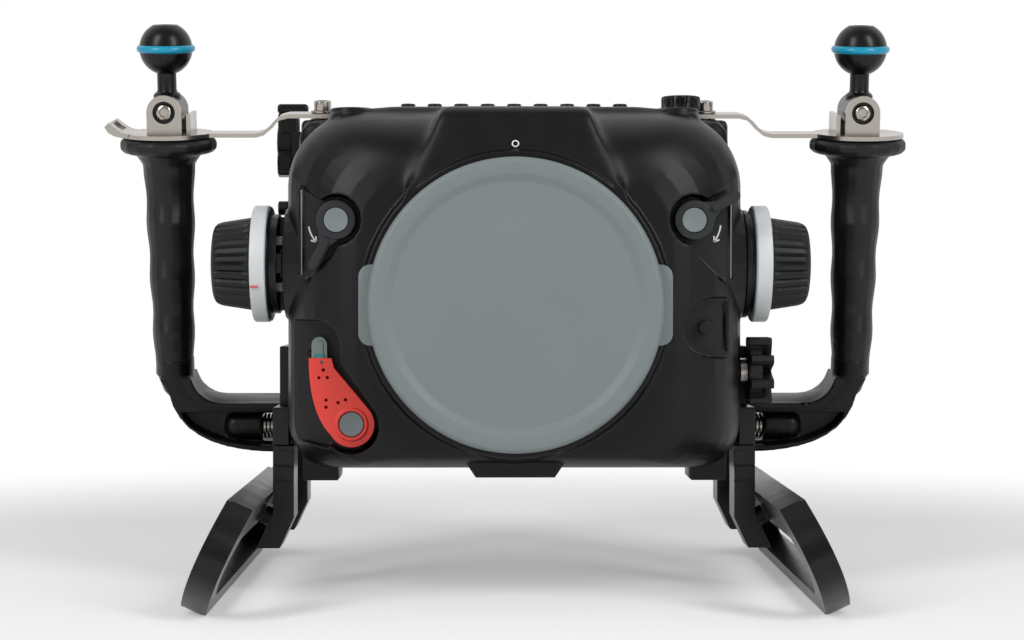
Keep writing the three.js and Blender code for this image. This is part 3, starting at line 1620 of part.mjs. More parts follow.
// Everything of one handle, in its leaning frame, mirrored for the left side
function handle(sign) {
  const name = (part) => `${sign > 0 ? 'right' : 'left'}_${part}`;
  const frame = new THREE.Group();
  frame.position.set(handleStart, handleDepth, handleHeight);
  frame.rotation.x = radians(handleLean);
  frame.add(
    piece(name('handle_arm'), handleArm(), blackMetal),
    piece(name('handle_grip'), handleGrip(), blackRubber),
    piece(name('handle_plate'), handlePlate(sign < 0), stainless),
    piece(name('shoulder_bolt'), shoulderBolt(), stainless),
  );
  const pivot = new THREE.Group();
  pivot.position.set(gripCentre, 0, pivotHeight);
  pivot.add(
    piece(name('ball_mount'), ballMount(), blackMetal),
    piece(name('ball_ring'), ringSolid(ringTubeRadius), blueRubber),
    piece(name('ball_pivot_bolt'), pivotBolt(), stainless),
  );
  frame.add(pivot);
  const side = new THREE.Group();
  side.scale.x = sign;
  side.add(
    frame,
    piece(name('side_rail'), sideRail(), blackMetal),
    piece(name('front_leg'), legArm(railFront), blackMetal),
    piece(name('rear_leg'), legArm(railBack - legWidth), blackMetal),
    piece(name('leg_loop'), legLoop(), blackMetal),
  );
  return side;
}

// Camera tray on its rails, with the screw that holds a camera
const trayBottom = bodyBottom + wall + trayRailHeight + fit;

function cameraTray() {
  return cut(
    block([-trayHalfWidth, trayFront, trayBottom], [trayHalfWidth, trayBack, trayBottom + trayThickness]),
    rod('z', [0, trayScrewDepth], trayBottom - overrun, trayBottom + trayThickness + overrun,
      trayScrewShank + fit, trayScrewShank + fit, smallSides),
  );
}

function trayScrew() {
  const head = trayBottom - fit;
  return joined(
    rod('z', [0, trayScrewDepth], head - trayScrewHead, head, trayScrewRadius, trayScrewRadius,
      smallSides),
    rod('z', [0, trayScrewDepth], head - fit, trayBottom + trayThickness + trayScrewRise,
      trayScrewShank, trayScrewShank, smallSides),
  );
}

// The whole housing. The left plate's curl reaches further out than the right plate, so
// the group is moved across by half of the difference to stand with its middle on Z.
const leftReach = handleStart + gripCentre + curlReach;
const rightReach = handleStart + gripCentre + flangeRadius;

const cameraHousing = new THREE.Group();
cameraHousing.position.x = (leftReach - rightReach) / 2;
cameraHousing.add(
  piece('front_shell', frontShell(), blackMetal),
  piece('back_cover', backCover(), blackMetal),
  piece('back_cover_seal', sealRing(0, coverFace + fit / 2, coverFace + sealDepth), blackRubber),
  piece(
    'back_window',
    slabAlongY(windowShape(-fit), coverBack - windowThickness, coverBack),
    clearPlastic,
  ),
  piece('hinge_pin', hingePin(), stainless),
  piece('back_latch_base', latchBase(), blackMetal),
  piece('back_latch_lever', latchLever(), blackMetal),
  piece('port_ring', portRing(), blackMetal),
  piece('port_cap', portCap(), greyPlastic),
  lockLever(-1, lockArmAngleLeft),
  lockDisc(-1),
  lockLever(1, lockArmAngleRight),
  lockDisc(1),
  recordLever(),
  atRecordHub('record_lever_disc',
    rod('y', [0, 0], recordFront, recordFront + recordDiscDepth, recordDiscRadius), greyPlastic),
  atRecordHub('record_lever_tip', recordTipSolid(0, recordTipDepth), greyPlastic),
  releaseButton(),
  ...Array.from({ length: buttonCount }, (_, index) => topButton(index)),
  topDial(),
  sideButton(),
  controlWheel(),
  wheelGland(),
  ...knobs(),
  handle(-1),
  handle(1),
  piece('camera_tray', cameraTray(), blackMetal),
  piece('camera_screw', trayScrew(), stainless),
);

export default cameraHousing;
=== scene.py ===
"""Looks of an underwater camera housing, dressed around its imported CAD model. Metres, +Z up."""

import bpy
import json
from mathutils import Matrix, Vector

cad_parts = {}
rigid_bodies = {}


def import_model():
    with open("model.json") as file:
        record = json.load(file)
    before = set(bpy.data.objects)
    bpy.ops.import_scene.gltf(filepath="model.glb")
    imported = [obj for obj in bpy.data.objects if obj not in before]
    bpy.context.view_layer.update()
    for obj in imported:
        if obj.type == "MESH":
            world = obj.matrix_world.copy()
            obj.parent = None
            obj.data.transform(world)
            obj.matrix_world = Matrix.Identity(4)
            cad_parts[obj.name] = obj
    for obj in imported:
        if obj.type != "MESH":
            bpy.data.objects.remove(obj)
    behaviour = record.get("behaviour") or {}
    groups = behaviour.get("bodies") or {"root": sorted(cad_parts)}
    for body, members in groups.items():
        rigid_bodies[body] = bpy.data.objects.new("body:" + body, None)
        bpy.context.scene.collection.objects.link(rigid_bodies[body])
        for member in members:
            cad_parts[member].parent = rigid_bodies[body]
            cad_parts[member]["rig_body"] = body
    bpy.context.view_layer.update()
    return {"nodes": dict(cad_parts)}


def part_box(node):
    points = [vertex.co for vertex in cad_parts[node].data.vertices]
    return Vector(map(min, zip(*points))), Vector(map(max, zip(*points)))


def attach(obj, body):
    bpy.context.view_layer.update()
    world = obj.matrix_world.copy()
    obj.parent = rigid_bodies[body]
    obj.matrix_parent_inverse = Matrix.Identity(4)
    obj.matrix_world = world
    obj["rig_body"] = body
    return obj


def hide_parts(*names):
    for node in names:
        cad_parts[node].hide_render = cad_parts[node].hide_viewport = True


bl_info = {
    "name": "Underwater Camera Housing",
    "version": (1, 0, 0),
    "blender": (4, 5, 0),
    "location": "View3D > Sidebar > Housing",
    "description": "Builds the pieces and finishes of an underwater camera housing with handles",
    "category": "Add Mesh",
}

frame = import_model()

import json
import math

import bpy
from bpy.props import FloatProperty, FloatVectorProperty, IntProperty, PointerProperty
from mathutils import Vector

MM = 0.001
MIDDLE = 0.00255  # the body's middle plane, beside the middle of the whole width
HANDLE_FOOT = (114.8, 20, 77)  # where a handle starts, in millimetres from the middle plane
HANDLE_LEAN = 9.8  # degrees, towards the back
LOOP_LEAN = 25  # degrees that a leg loop leans in from upright
LOOP_FOOT = 137.5  # millimetres from the middle plane to the loop's foot


def linear(colour):
    """An sRGB hex colour as linear red, green, blue and alpha"""
    channels = [int(colour[i:i + 2], 16) / 255 for i in (1, 3, 5)]
    return [c / 12.92 if c <= 0.04045 else ((c + 0.055) / 1.055) ** 2.4 for c in channels] + [1.0]


def colour_property(name, about, colour):
    """A colour that the panel offers"""
    return FloatVectorProperty(name=name, description=about, subtype="COLOR", size=4, min=0, max=1,
                               default=linear(colour))


def length_property(name, about, value):
    """A length that the panel offers"""
    return FloatProperty(name=name, description=about, unit="LENGTH", min=0, precision=5, default=value)


class HousingSizes(bpy.types.PropertyGroup):
    """Sizes that can be changed before the pieces are made"""

    casting_grid: length_property("Casting grid", "Cell of the grid that the body is cast on", 0.0008)
    cover_grid: length_property("Cover grid", "Cell of the grid that the back cover is cast on", 0.0013)
    fine_grid: length_property("Fine grid", "Cell of the grid for arms, loops and grips", 0.001)
    casting_passes: IntProperty(name="Casting passes", default=150, min=0,
                                description="How often the casting's skin is relaxed")
    key_power: FloatProperty(name="Key power", description="Power of each soft box", unit="POWER",
                             default=14)
    fill_level: FloatProperty(name="Fill level", description="Soft light from all round", default=0.25)
    front_level: FloatProperty(name="Front level", default=0.3,
                               description="How bright mirrors see the side that the camera is on")
    floor_glow: FloatProperty(name="Floor glow", default=0.3,
                              description="What the eye sees of the floor besides its light")


class HousingColours(bpy.types.PropertyGroup):
    """Colours of the finishes"""

    black_metal: colour_property("Black metal", "Anodised body and frames", "#0b0c0c")
    black_plastic: colour_property("Black plastic", "Buttons", "#0d0e0e")
    black_rubber: colour_property("Black rubber", "Grips and knobs", "#0f1010")
    cap_grey: colour_property("Cap grey", "Port cap and lever discs", "#7b8485")
    lever_red: colour_property("Lever red", "Record lever", "#f0463c")
    ring_pale: colour_property("Ring pale", "Marking rings of the knobs", "#d6dadc")
    ring_blue: colour_property("Ring blue", "O-rings on the balls", "#0f9cc0")
    steel: colour_property("Steel", "Handle plates and bolts", "#aea8a1")
    mark_white: colour_property("Mark white", "Index ring and arrows", "#f2f2f0")
    mark_red: colour_property("Mark red", "Index line on the left knob", "#d8232a")
    band_teal: colour_property("Band teal", "Band at the record lever's tip", "#1f8d86")
    window: colour_property("Window", "Clear window in the back cover", "#dfe9ec")


# Finishes


def new_material(name):
    """An empty node material"""
    material = bpy.data.materials.new(name)
    material.use_nodes = True
    material.node_tree.nodes.clear()
    return material


def add_node(material, kind, inputs=None, **settings):
    """Adds a node with its settings. An input is a value, or the output that feeds it."""
    node = material.node_tree.nodes.new(kind)
    for name, value in settings.items():
        setattr(node, name, value)
    for name, value in (inputs or {}).items():
        if isinstance(value, bpy.types.NodeSocket):
            material.node_tree.links.new(value, node.inputs[name])
        else:
            node.inputs[name].default_value = value
    return node


def shade(colour, factor):
    """A darker or lighter copy of a colour"""
    return [min(1.0, c * factor) for c in colour[:3]] + [1.0]


def surface(name, colour, rough, spread, grain, depth, patch=0.012, tint=0.12, metallic=0.0,
            ior=1.5, stretch=(1, 1, 1), wear=None):
    """A finish with grain in its relief, patches in its gloss and colour, and lighter edges.
    grain and patch are sizes in metres, depth is the height of the grain in metres, and wear
    is the colour and the amount of what shows at sharp edges, partly wear and partly a painted
    highlight."""
    material = new_material(name)
    place = add_node(material, "ShaderNodeTexCoord").outputs["Object"]
    if stretch != (1, 1, 1):
        place = add_node(material, "ShaderNodeMapping", {"Vector": place, "Scale": stretch}).outputs[0]
    fine = add_node(material, "ShaderNodeTexNoise",
                    {"Vector": place, "Scale": 1 / grain, "Detail": 4.0, "Roughness": 0.6})
    broad = add_node(material, "ShaderNodeTexNoise",
                     {"Vector": place, "Scale": 1 / patch, "Detail": 3.0, "Roughness": 0.55})
    spots = add_node(material, "ShaderNodeMapRange",
                     {"Value": fine.outputs["Fac"], "From Min": 0.3, "From Max": 0.7,
                      "To Min": -spread * 0.5, "To Max": spread * 0.5})
    gloss = add_node(material, "ShaderNodeMapRange",
                     {"Value": broad.outputs["Fac"], "From Min": 0.3, "From Max": 0.7,
                      "To Min": rough - spread, "To Max": rough + spread})
    total = add_node(material, "ShaderNodeMath",
                     {0: gloss.outputs[0], 1: spots.outputs[0]}, operation="ADD", use_clamp=True)
    mixed = add_node(material, "ShaderNodeMix",
                     {0: broad.outputs["Fac"], 6: shade(colour, 1 - tint), 7: shade(colour, 1 + tint)},
                     data_type="RGBA").outputs[2]
    # Sharp edges are made lighter, partly as rubbed wear and partly as a painted highlight
    if wear:
        edge = add_node(material, "ShaderNodeNewGeometry").outputs["Pointiness"]
        edge_rub_and_highlight = add_node(material, "ShaderNodeMapRange",
                          {"Value": edge, "From Min": 0.53, "From Max": 0.62,
                           "To Min": 0.0, "To Max": wear[1]}, clamp=True)
        broken = add_node(material, "ShaderNodeMath",
                          {0: edge_rub_and_highlight.outputs[0], 1: fine.outputs["Fac"]}, operation="MULTIPLY")
        mixed = add_node(material, "ShaderNodeMix",
                         {0: broken.outputs[0], 6: mixed, 7: linear(wear[0])},
                         data_type="RGBA").outputs[2]
    relief = add_node(material, "ShaderNodeBump",
                      {"Height": fine.outputs["Fac"], "Strength": 1.0, "Distance": depth})
    shader = add_node(material, "ShaderNodeBsdfPrincipled",
                      {"Base Color": mixed, "Roughness": total.outputs[0], "Metallic": metallic,
                       "Normal": relief.outputs[0]})
    if not metallic:
        shader.inputs["IOR"].default_value = ior
    add_node(material, "ShaderNodeOutputMaterial", {"Surface": shader.outputs[0]})
    return material


def clear_acrylic(name):
    """Cast acrylic sheet, polished: clear, with a faint haze in its gloss"""
    material = new_material(name)
    place = add_node(material, "ShaderNodeTexCoord").outputs["Object"]
    haze = add_node(material, "ShaderNodeTexNoise", {"Vector": place, "Scale": 60.0, "Detail": 4.0})
    gloss = add_node(material, "ShaderNodeMapRange",
                     {"Value": haze.outputs["Fac"], "To Min": 0.02, "To Max": 0.09})
    shader = add_node(material, "ShaderNodeBsdfPrincipled",
                      {"Base Color": list(bpy.context.scene.housing_colours.window),
                       "Roughness": gloss.outputs[0], "Transmission Weight": 1.0, "IOR": 1.49})
    add_node(material, "ShaderNodeOutputMaterial", {"Surface": shader.outputs[0]})
    return material


# A finish is its colour, its roughness and how far that wanders, its grain's size and height in
# metres, and what else its surface takes. Real grit and brush lines are 0.05 to 0.2 mm apart,
# too fine to show, so the grain is drawn several times as coarse.
# Where a finish has wear, its sharp edges are lighter, partly as wear and partly as a painted highlight.
FINISHES = {
    # Cast and machined, blasted and hard anodised: satin black, with a fine sandy grain
    "hard_anodised_aluminium": ("black_metal", 0.38, 0.03, 0.0007, 0.00002,
                                {"ior": 1.34, "wear": ("#4a4c4e", 0.5)}),
    # Milled, then anodised: a little smoother than the casting
    "machined_black_aluminium": ("black_metal", 0.30, 0.03, 0.0006, 0.000003,
                                 {"ior": 1.38, "wear": ("#3c3e40", 0.3)}),
    # A painted highlight: thin grey strips along the lips of the pockets, where the lips catch the light
    "bare_machined_edge": ("#77797b", 0.35, 0.05, 0.0004, 0.00001, {"metallic": 0.6}),
    # The lock levers are bead blasted: an even dark grey that is lighter than the body
    "blasted_lever_aluminium": ("#26282a", 0.48, 0.05, 0.0005, 0.00001, {"ior": 1.42}),
    # The floors of the pockets are milled after casting: flatter than the skin, and given a lighter grey
    # as painted light, for the light that the flat floors catch
    "milled_pocket_aluminium": ("#191b1c", 0.45, 0.05, 0.0006, 0.00001, {"ior": 1.42}),
    # Injection moulded buttons, slightly glossy
    "moulded_black_nylon": ("black_plastic", 0.38, 0.06, 0.0008, 0.00002,
                            {"ior": 1.4, "wear": ("#3c3d3f", 0.4)}),
    # Rubber from a sparked mould: soft sheen, fine leathery grain
    "moulded_black_rubber": ("black_rubber", 0.44, 0.07, 0.0011, 0.00004,
                             {"patch": 0.02, "ior": 1.4}),
    # Injection moulded, matt, with a faint flow of colour from the gate
    "moulded_grey_nylon": ("cap_grey", 0.50, 0.05, 0.0009, 0.00002,
                           {"patch": 0.05, "tint": 0.04, "wear": ("#a3acae", 0.5)}),
    # Injection moulded and dyed through: an even red with a low sheen, paler at its edges where it is
    # rubbed, and with a painted highlight there too
    "moulded_red_nylon": ("lever_red", 0.42, 0.06, 0.0009, 0.00003,
                          {"tint": 0.05, "wear": ("#f0716a", 0.5)}),
    # Turned from white rod for writing on: smooth and satin, almost without grain
    "turned_white_acetal": ("ring_pale", 0.40, 0.05, 0.001, 0.00001, {"patch": 0.02, "tint": 0.03}),
    # Silicone O-ring, smooth from its mould
    "blue_silicone_rubber": ("ring_blue", 0.30, 0.05, 0.0012, 0.00001, {"tint": 0.05}),
    # Rolled sheet, brushed along its length
    "brushed_stainless_steel": ("steel", 0.27, 0.06, 0.0006, 0.00001,
                                {"patch": 0.02, "tint": 0.06, "metallic": 1.0,
                                 "stretch": (0.06, 1, 1)}),
    # Bolts, turned and passivated: bright, with soft reflections
    "turned_stainless_steel": ("steel", 0.24, 0.06, 0.0008, 0.00001, {"tint": 0.08, "metallic": 1.0}),
    # Enamel paint pressed into the marks: flat colours with a slight gloss
    "white_enamel_mark": ("mark_white", 0.45, 0.05, 0.0008, 0.00001, {"tint": 0.02}),
    "red_enamel_mark": ("mark_red", 0.45, 0.05, 0.0008, 0.00001, {"tint": 0.04}),
    "teal_enamel_band": ("band_teal", 0.40, 0.05, 0.0008, 0.00001, {"tint": 0.05}),
}


def finish(name):
    """The material of that name, made the first time it is asked for"""
    made = bpy.data.materials.get(name)
    if made:
        return made
    if name == "clear_acrylic":
        return clear_acrylic(name)
    tone, *numbers, options = FINISHES[name]
    tones = bpy.context.scene.housing_colours
    colour = linear(tone) if tone.startswith("#") else getattr(tones, tone)
    return surface(name, colour, *numbers, **options)


# Modelling


def start_clean():
    """Object mode with nothing selected"""
    if bpy.context.object and bpy.context.object.mode != "OBJECT":
        bpy.ops.object.mode_set(mode="OBJECT")
    bpy.ops.object.select_all(action="DESELECT")


def pick(piece):
    """Selects one piece alone"""
    start_clean()
    piece.select_set(True)
    bpy.context.view_layer.objects.active = piece


def apply_modifier(piece, kind, **settings):
    """Adds a modifier to a piece and applies it"""
    pick(piece)
    modifier = piece.modifiers.new(kind.lower(), kind)
    for name, value in settings.items():
        setattr(modifier, name, value)
    bpy.ops.object.modifier_apply(modifier=modifier.name)


def body_of(node):
    """The CAD body that a node belongs to"""
    return frame["nodes"][node]["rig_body"]


def welded_copy(node):
    """A copy of a CAD node with its loose triangles merged"""
    source = frame["nodes"][node]
    start_clean()
    source.hide_viewport = False
    source.select_set(True)
    bpy.context.view_layer.objects.active = source
    bpy.ops.object.duplicate()
    piece = bpy.context.view_layer.objects.active
    for key in list(piece.keys()):
        del piece[key]
    piece.parent = None
    bpy.ops.object.mode_set(mode="EDIT")
    bpy.ops.mesh.select_all(action="SELECT")
    bpy.ops.mesh.remove_doubles(threshold=0.000002)
    bpy.ops.object.mode_set(mode="OBJECT")
    return piece


def done(piece, name, body, material, stands_for=(), angle=35, even=False):
    """Puts a piece's place into its mesh, gives it its finish and lets it ride on a body. Even
    keeps flat faces flat beside their rounded edges."""
    pick(piece)
    bpy.ops.object.transform_apply(location=True, rotation=True, scale=True)
    bpy.ops.object.shade_smooth_by_angle(angle=math.radians(angle))
    if even:
        apply_modifier(piece, "WEIGHTED_NORMAL", keep_sharp=True, weight=80)
    piece.name = name
    piece.data.name = name
    piece.data.materials.clear()
    piece.data.materials.append(finish(material))
    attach(piece, body)
    if stands_for:
        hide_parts(*stands_for)
    start_clean()
    return piece


def standing_in(piece, node, material, angle=35, even=False):
    """Finishes the piece that is shown in place of a CAD node"""
    return done(piece, node + "_shown", body_of(node), material, (node,), angle, even)


def milled(node, material, rounding, segments=2, reshape=None):
    """A CAD node with its machined edges rounded, by millimetres"""
    piece = welded_copy(node)
    if reshape:
        reshape(piece)
    bpy.ops.object.mode_set(mode="EDIT")
    bpy.ops.mesh.select_all(action="SELECT")
    bpy.ops.mesh.dissolve_limited(angle_limit=math.radians(0.6))
    bpy.ops.object.mode_set(mode="OBJECT")
    return standing_in(rounded(piece, rounding, segments), node, material, even=True)


def moulded(piece, grid, passes, share=1.0):
    """Runs a piece's solids into one on a grid, in metres, and softens its edges"""
    piece.data.remesh_voxel_size = grid
    piece.data.remesh_voxel_adaptivity = 0
    pick(piece)
    bpy.ops.object.voxel_remesh()
    apply_modifier(piece, "SMOOTH", factor=0.5, iterations=passes)
    if share < 1:
        apply_modifier(piece, "DECIMATE", ratio=share)
    return piece


def sizes():
    """The sizes that the panel holds"""
    return bpy.context.scene.housing_sizes


def place_of(x, y, z):
    """A place in millimetres from the body's middle plane, in metres from the origin"""
    return (x * MM + MIDDLE, y * MM, z * MM)


def turned(stations, sides=48, hollow=False):
    """Turns a piece along +Z: a disc, or a ring if it is hollow, that is extruded and scaled from
    station to station. A station is a height and a radius, in millimetres."""
    height, radius = stations[0]
    start_clean()
    bpy.ops.mesh.primitive_circle_add(vertices=sides, radius=radius * MM,
                                      fill_type="NOTHING" if hollow else "NGON")
    piece = bpy.context.object
    bpy.ops.object.mode_set(mode="EDIT")
    bpy.ops.mesh.select_all(action="SELECT")
    bpy.ops.transform.translate(value=(0, 0, height * MM))
    for next_height, next_radius in stations[1:]:
        bpy.ops.mesh.extrude_region_move(
            TRANSFORM_OT_translate={"value": (0, 0, (next_height - height) * MM)})
        grow = next_radius / radius
        bpy.ops.transform.resize(value=(grow, grow, 1), center_override=(0, 0, next_height * MM))
        height, radius = next_height, next_radius
    straighten(piece)
    return piece


def straighten(piece):
    """Merges a piece's doubles and turns its faces outwards"""
    pick(piece)
    bpy.ops.object.mode_set(mode="EDIT")
    bpy.ops.mesh.select_all(action="SELECT")
    bpy.ops.mesh.remove_doubles(threshold=0.000001)
    bpy.ops.mesh.normals_make_consistent(inside=False)
    bpy.ops.object.mode_set(mode="OBJECT")


def flat(points, low, high):
    """Extrudes an outline, in millimetres, along +Z from one height to another"""
    start_clean()
    bpy.ops.mesh.primitive_circle_add(vertices=len(points), radius=MM, fill_type="NGON")
    piece = bpy.context.object
    for corner, (x, y) in zip(piece.data.vertices, points):
        corner.co = (x * MM, y * MM, low * MM)
    bpy.ops.object.mode_set(mode="EDIT")
    bpy.ops.mesh.select_all(action="SELECT")
    bpy.ops.mesh.extrude_region_move(TRANSFORM_OT_translate={"value": (0, 0, (high - low) * MM)})
    straighten(piece)
    return piece


def brick(low, high):
    """A block between two corners in millimetres from the body's middle plane"""
    start_clean()
    bpy.ops.mesh.primitive_cube_add(size=1)
    piece = bpy.context.object
    piece.location = [(a + b) / 2 for a, b in zip(place_of(*low), place_of(*high))]
    piece.scale = [(b - a) * MM for a, b in zip(low, high)]
    bpy.ops.object.transform_apply(location=True, rotation=True, scale=True)
    straighten(piece)
    return piece


def arc(centre, radius, start, end, steps):
    """Points on an arc, in millimetres and degrees"""
    angles = [math.radians(start + (end - start) * step / steps) for step in range(steps + 1)]
    return [(centre[0] + radius * math.cos(a), centre[1] + radius * math.sin(a)) for a in angles]


def settled(piece, place=(0, 0, 0), turn=(0, 0, 0), mirror=False):
    """Turns a piece, by degrees about X, Y and Z, moves it to its place and applies both"""
    pick(piece)
    piece.rotation_euler = [math.radians(angle) for angle in turn]
    piece.location = place
    bpy.ops.object.transform_apply(location=True, rotation=True, scale=True)
    if mirror:
        for corner in piece.data.vertices:
            corner.co.x = 2 * MIDDLE - corner.co.x
        straighten(piece)
    return piece


def facing(piece, x, z, spin=0):
    """Stands a piece that was made along +Z at a place on the front, so that it faces the viewer"""
    settled(piece, turn=(0, 0, spin))
    return settled(piece, place_of(x, 0, z), (90, 0, 0))


def sideways(piece, side, y, z):
    """Lays a piece that was made along +Z on a side, so that it points outwards"""
    return settled(piece, place_of(0, y, z), (0, 90, 0), mirror=side == "left")


def in_handle(piece, side, place=(0, 0, 0)):
    """Puts a piece in the leaning frame of a handle"""
    settled(piece, [value * MM for value in place])
    return settled(piece, place_of(*HANDLE_FOOT), (HANDLE_LEAN, 0, 0), mirror=side == "left")


def hoop(radius, half, around, across):
    """A ring at the origin, by the radii of its middle line and its section in millimetres"""
    start_clean()
    bpy.ops.mesh.primitive_torus_add(major_radius=radius * MM, minor_radius=half * MM,
                                     major_segments=around, minor_segments=across)
    return bpy.context.object


def rounded(piece, width, segments=2, corner=32):
    """Rounds the edges of a piece, by a width in millimetres"""
    apply_modifier(piece, "BEVEL", width=width * MM, segments=segments, limit_method="ANGLE",
                   angle_limit=math.radians(corner), use_clamp_overlap=True)
    return piece


def shaped(piece, *tools, operation="UNION"):
    """Joins tools to a piece or cuts them out of it, and removes the tools"""
    for tool in tools:
        apply_modifier(piece, "BOOLEAN", operation=operation, solver="EXACT", object=tool)
        bpy.data.objects.remove(tool)
    return piece


def merged(piece, *others):
    """Joins the meshes of other pieces to a piece as they are"""
    pick(piece)
    for other in others:
        other.select_set(True)
    bpy.ops.object.join()
    return piece


def weighed(piece, rule):
    """Gives a piece a vertex group whose weights a rule works out, and its name"""
    group = piece.vertex_groups.new(name="weighed")
    for corner in piece.data.vertices:
        share = rule(corner)
        if share > 0:
            group.add([corner.index], share, "REPLACE")
    return group.name


def relaxed(piece, passes, rule):
    """Relaxes a mesh where a rule says so"""
    apply_modifier(piece, "SMOOTH", factor=0.5, iterations=passes, vertex_group=weighed(piece, rule))
    piece.vertex_groups.clear()


def thinned(piece, share, rule):
    """Leaves a share of a mesh's faces, and takes most of them where a rule says so"""
    apply_modifier(piece, "DECIMATE", ratio=share, vertex_group=weighed(piece, rule),
                   vertex_group_factor=1.0)
    piece.vertex_groups.clear()


def fluted(piece, count, depth, low, high, width=0.3, run_out=1.5):
    """Presses grooves into a turned piece between two heights, in millimetres. The width is a
    groove's half width as a share of the pitch."""
    for corner in piece.data.vertices:
        x, y, z = corner.co / MM
        share = (math.atan2(y, x) / (2 * math.pi) * count) % 1
        groove = max(0.0, 1 - min(share, 1 - share) / width) ** 0.8
        ends = min(1.0, max(0.0, (z - low) / run_out), max(0.0, (high - z) / run_out))
        reach = 1 - depth * groove * ends / max(math.hypot(x, y), depth * 4)
        corner.co.x *= reach
        corner.co.y *= reach


def capsule(start, end, half):
    """The outline of a bar with round ends"""
    way = math.degrees(math.atan2(end[1] - start[1], end[0] - start[0]))
    return arc(end, half, way - 90, way + 90, 10) + arc(start, half, way + 90, way + 270, 10)


def on_front(x, z):
    """The point of the front shell's surface behind a place on the front, and its normal"""
    shell = bpy.data.objects["front_shell_shown"]
    found, point, normal, _ = shell.ray_cast(Vector(place_of(x, -200, z)), Vector((0, 1, 0)))
    if not found:
        raise ValueError("no shell behind %s, %s" % (x, z))
    return point, normal


def refinished(piece, material, rule):
    """Gives the faces that a rule picks another finish"""
    piece.data.materials.append(finish(material))
    for face in piece.data.polygons:
        if rule(face):
            face.material_index = len(piece.data.materials) - 1


# Pieces

# Places are in millimetres from the body's middle plane and from the floor
PORT_HEIGHT = 137
LOCK_PLACE = (81.4, 175.5)
LOCK_ANGLES = {"left": 243, "right": 31}  # degrees, as the levers point at rest
RECORD_PLACE = (-75, 82.1)
RECORD_HOLES = ((-13.5, 28.5), (-12.8, 25.0), (-14.9, 21.4), (-11.0, 21.5), (-11.6, 11.2),
                (-11.6, 7.9), (-6.1, 10.0), (-2.7, 11.3))  # blind, from the lever's hub
KNOB_PLACE = (-32, 156)
BOSS_PLACE = (76.3, -37)
WASHER_PLACE = (20, 76)

# Places in a handle's leaning frame, out from its foot and up
SHOULDER_OUT = -22.2
SHOULDER_HEIGHT = 154.9
BALL_OUT = 52.8
PIVOT_HEIGHT = 155.8
BALL_HEIGHT = 185.6
BALL_RADIUS = 12.7


def fade(distance, reach):
    """Nothing below zero and one past a reach"""
    return min(1.0, max(0.0, distance / reach))


def skin_weight(corner):
    """Where the casting's skin is relaxed: everywhere but at its pockets, its seats and its lips"""
    x, y, z = corner.co.x / MM - MIDDLE / MM, corner.co.y / MM, corner.co.z / MM
    side = abs(x)
    # The back flange, the underside and the port's seat stay sharp
    shares = [fade(50 - y, 8), fade(z - 74, 8), fade(math.hypot(x, z - PORT_HEIGHT) - 71.5, 3)]
    # So do the pockets of the lock levers, the record lever and the lens release button
    if y < -38:
        shares.append(fade(math.hypot(side - 87, z - 176) - 27, 6))
        shares.append(fade(math.hypot(x + 85, z - 98) - 37, 6))
        shares.append(fade(math.hypot(x - 93, z - 126.5) - 21, 6))
    # The row of push buttons and the two bosses on the top
    if z > 216:
        shares.append(fade(max(abs(y + 27) - 6, side - 57), 4))
        shares.append(fade(math.hypot(side - BOSS_PLACE[0], y - BOSS_PLACE[1]) - 11, 5))
    # The seats of the knobs and of the control wheel at the sides
    if side > 96:
        shares.append(fade(math.hypot(y - KNOB_PLACE[0], z - KNOB_PLACE[1]) - 28, 5))
        shares.append(fade(max(abs(y + 33) - 20, abs(z - 105) - 20), 5))
    return min(shares)


def inner_weight(corner):
    """The faces that look into the hollow of a case, where fewer faces do"""
    hollow = Vector(place_of(0, 0, 145)) - corner.co
    return 1.0 if corner.normal.dot(hollow) > 0 else 0.0


def pocket_floor(face):
    """The milled floors of the pockets in the front, which take a lighter grey as painted light"""
    x, y, z = (face.center.x - MIDDLE) / MM, face.center.y / MM, face.center.z / MM
    if face.normal.y > -0.97 or z < 60 or z > 200:
        return False
    # The floors lie 64, 57 and 63 mm before the origin
    lock = abs(y + 64) < 0.35 and 70 < abs(x) < 99
    record = abs(y + 57) < 0.35 and -104 < x < -55
    lens = abs(y + 63) < 0.35 and 72 < x < 99
    return lock or record or lens


def pocket_lips():
    """The upright lips where the pockets end at the sides"""
    lips = [brick((-99.4, -65.6, 151), (-97.6, -56, 192)), brick((98.2, -65.2, 148), (100, -56, 186)),
            brick((96.4, -65.2, 116), (98.4, -56, 138))]
    return [rounded(lip, 0.7, 2) for lip in lips]


def boss_skirt(side):
    """The flared root of a boss on the top"""
    skirt = turned([(214, 12.4), (220, 11.2), (224, 10.6), (227.9, 10.4), (228.6, 10.2), (228.9, 9.8)])
    return settled(skirt, place_of(side * BOSS_PLACE[0], BOSS_PLACE[1], 0))


def ribbon(points, width):
    """The outline of a painted stroke along a line of points"""
    left, right = [], []
    for index, (x, y) in enumerate(points):
        before, after = points[max(0, index - 1)], points[min(len(points) - 1, index + 1)]
        length = math.dist(before, after)
        across = ((before[1] - after[1]) / length, (after[0] - before[0]) / length)
        left.append((x + across[0] * width / 2, y + across[1] * width / 2))
        right.append((x - across[0] * width / 2, y - across[1] * width / 2))
    return left + right[::-1]


def painted_arrow(hub, centre, radius, start, end, depth):
    """A curved arrow with an open head, printed on a flat place behind a lever"""
    sweep = [(hub[0] + x, hub[1] + y) for x, y in arc(centre, radius, start, end, 10)]
    tip, before = sweep[-1], sweep[-3]
    way = math.atan2(tip[1] - before[1], tip[0] - before[0])
    strokes = [sweep]
    for turn in (145, -145):
        angle = way + math.radians(turn)
        strokes.append([tip, (tip[0] + 2.6 * math.cos(angle), tip[1] + 2.6 * math.sin(angle))])
    pieces = [flat(ribbon(stroke, 0.7), depth - 0.25, depth + 0.12) for stroke in strokes]
    return facing(merged(*pieces), 0, 0)


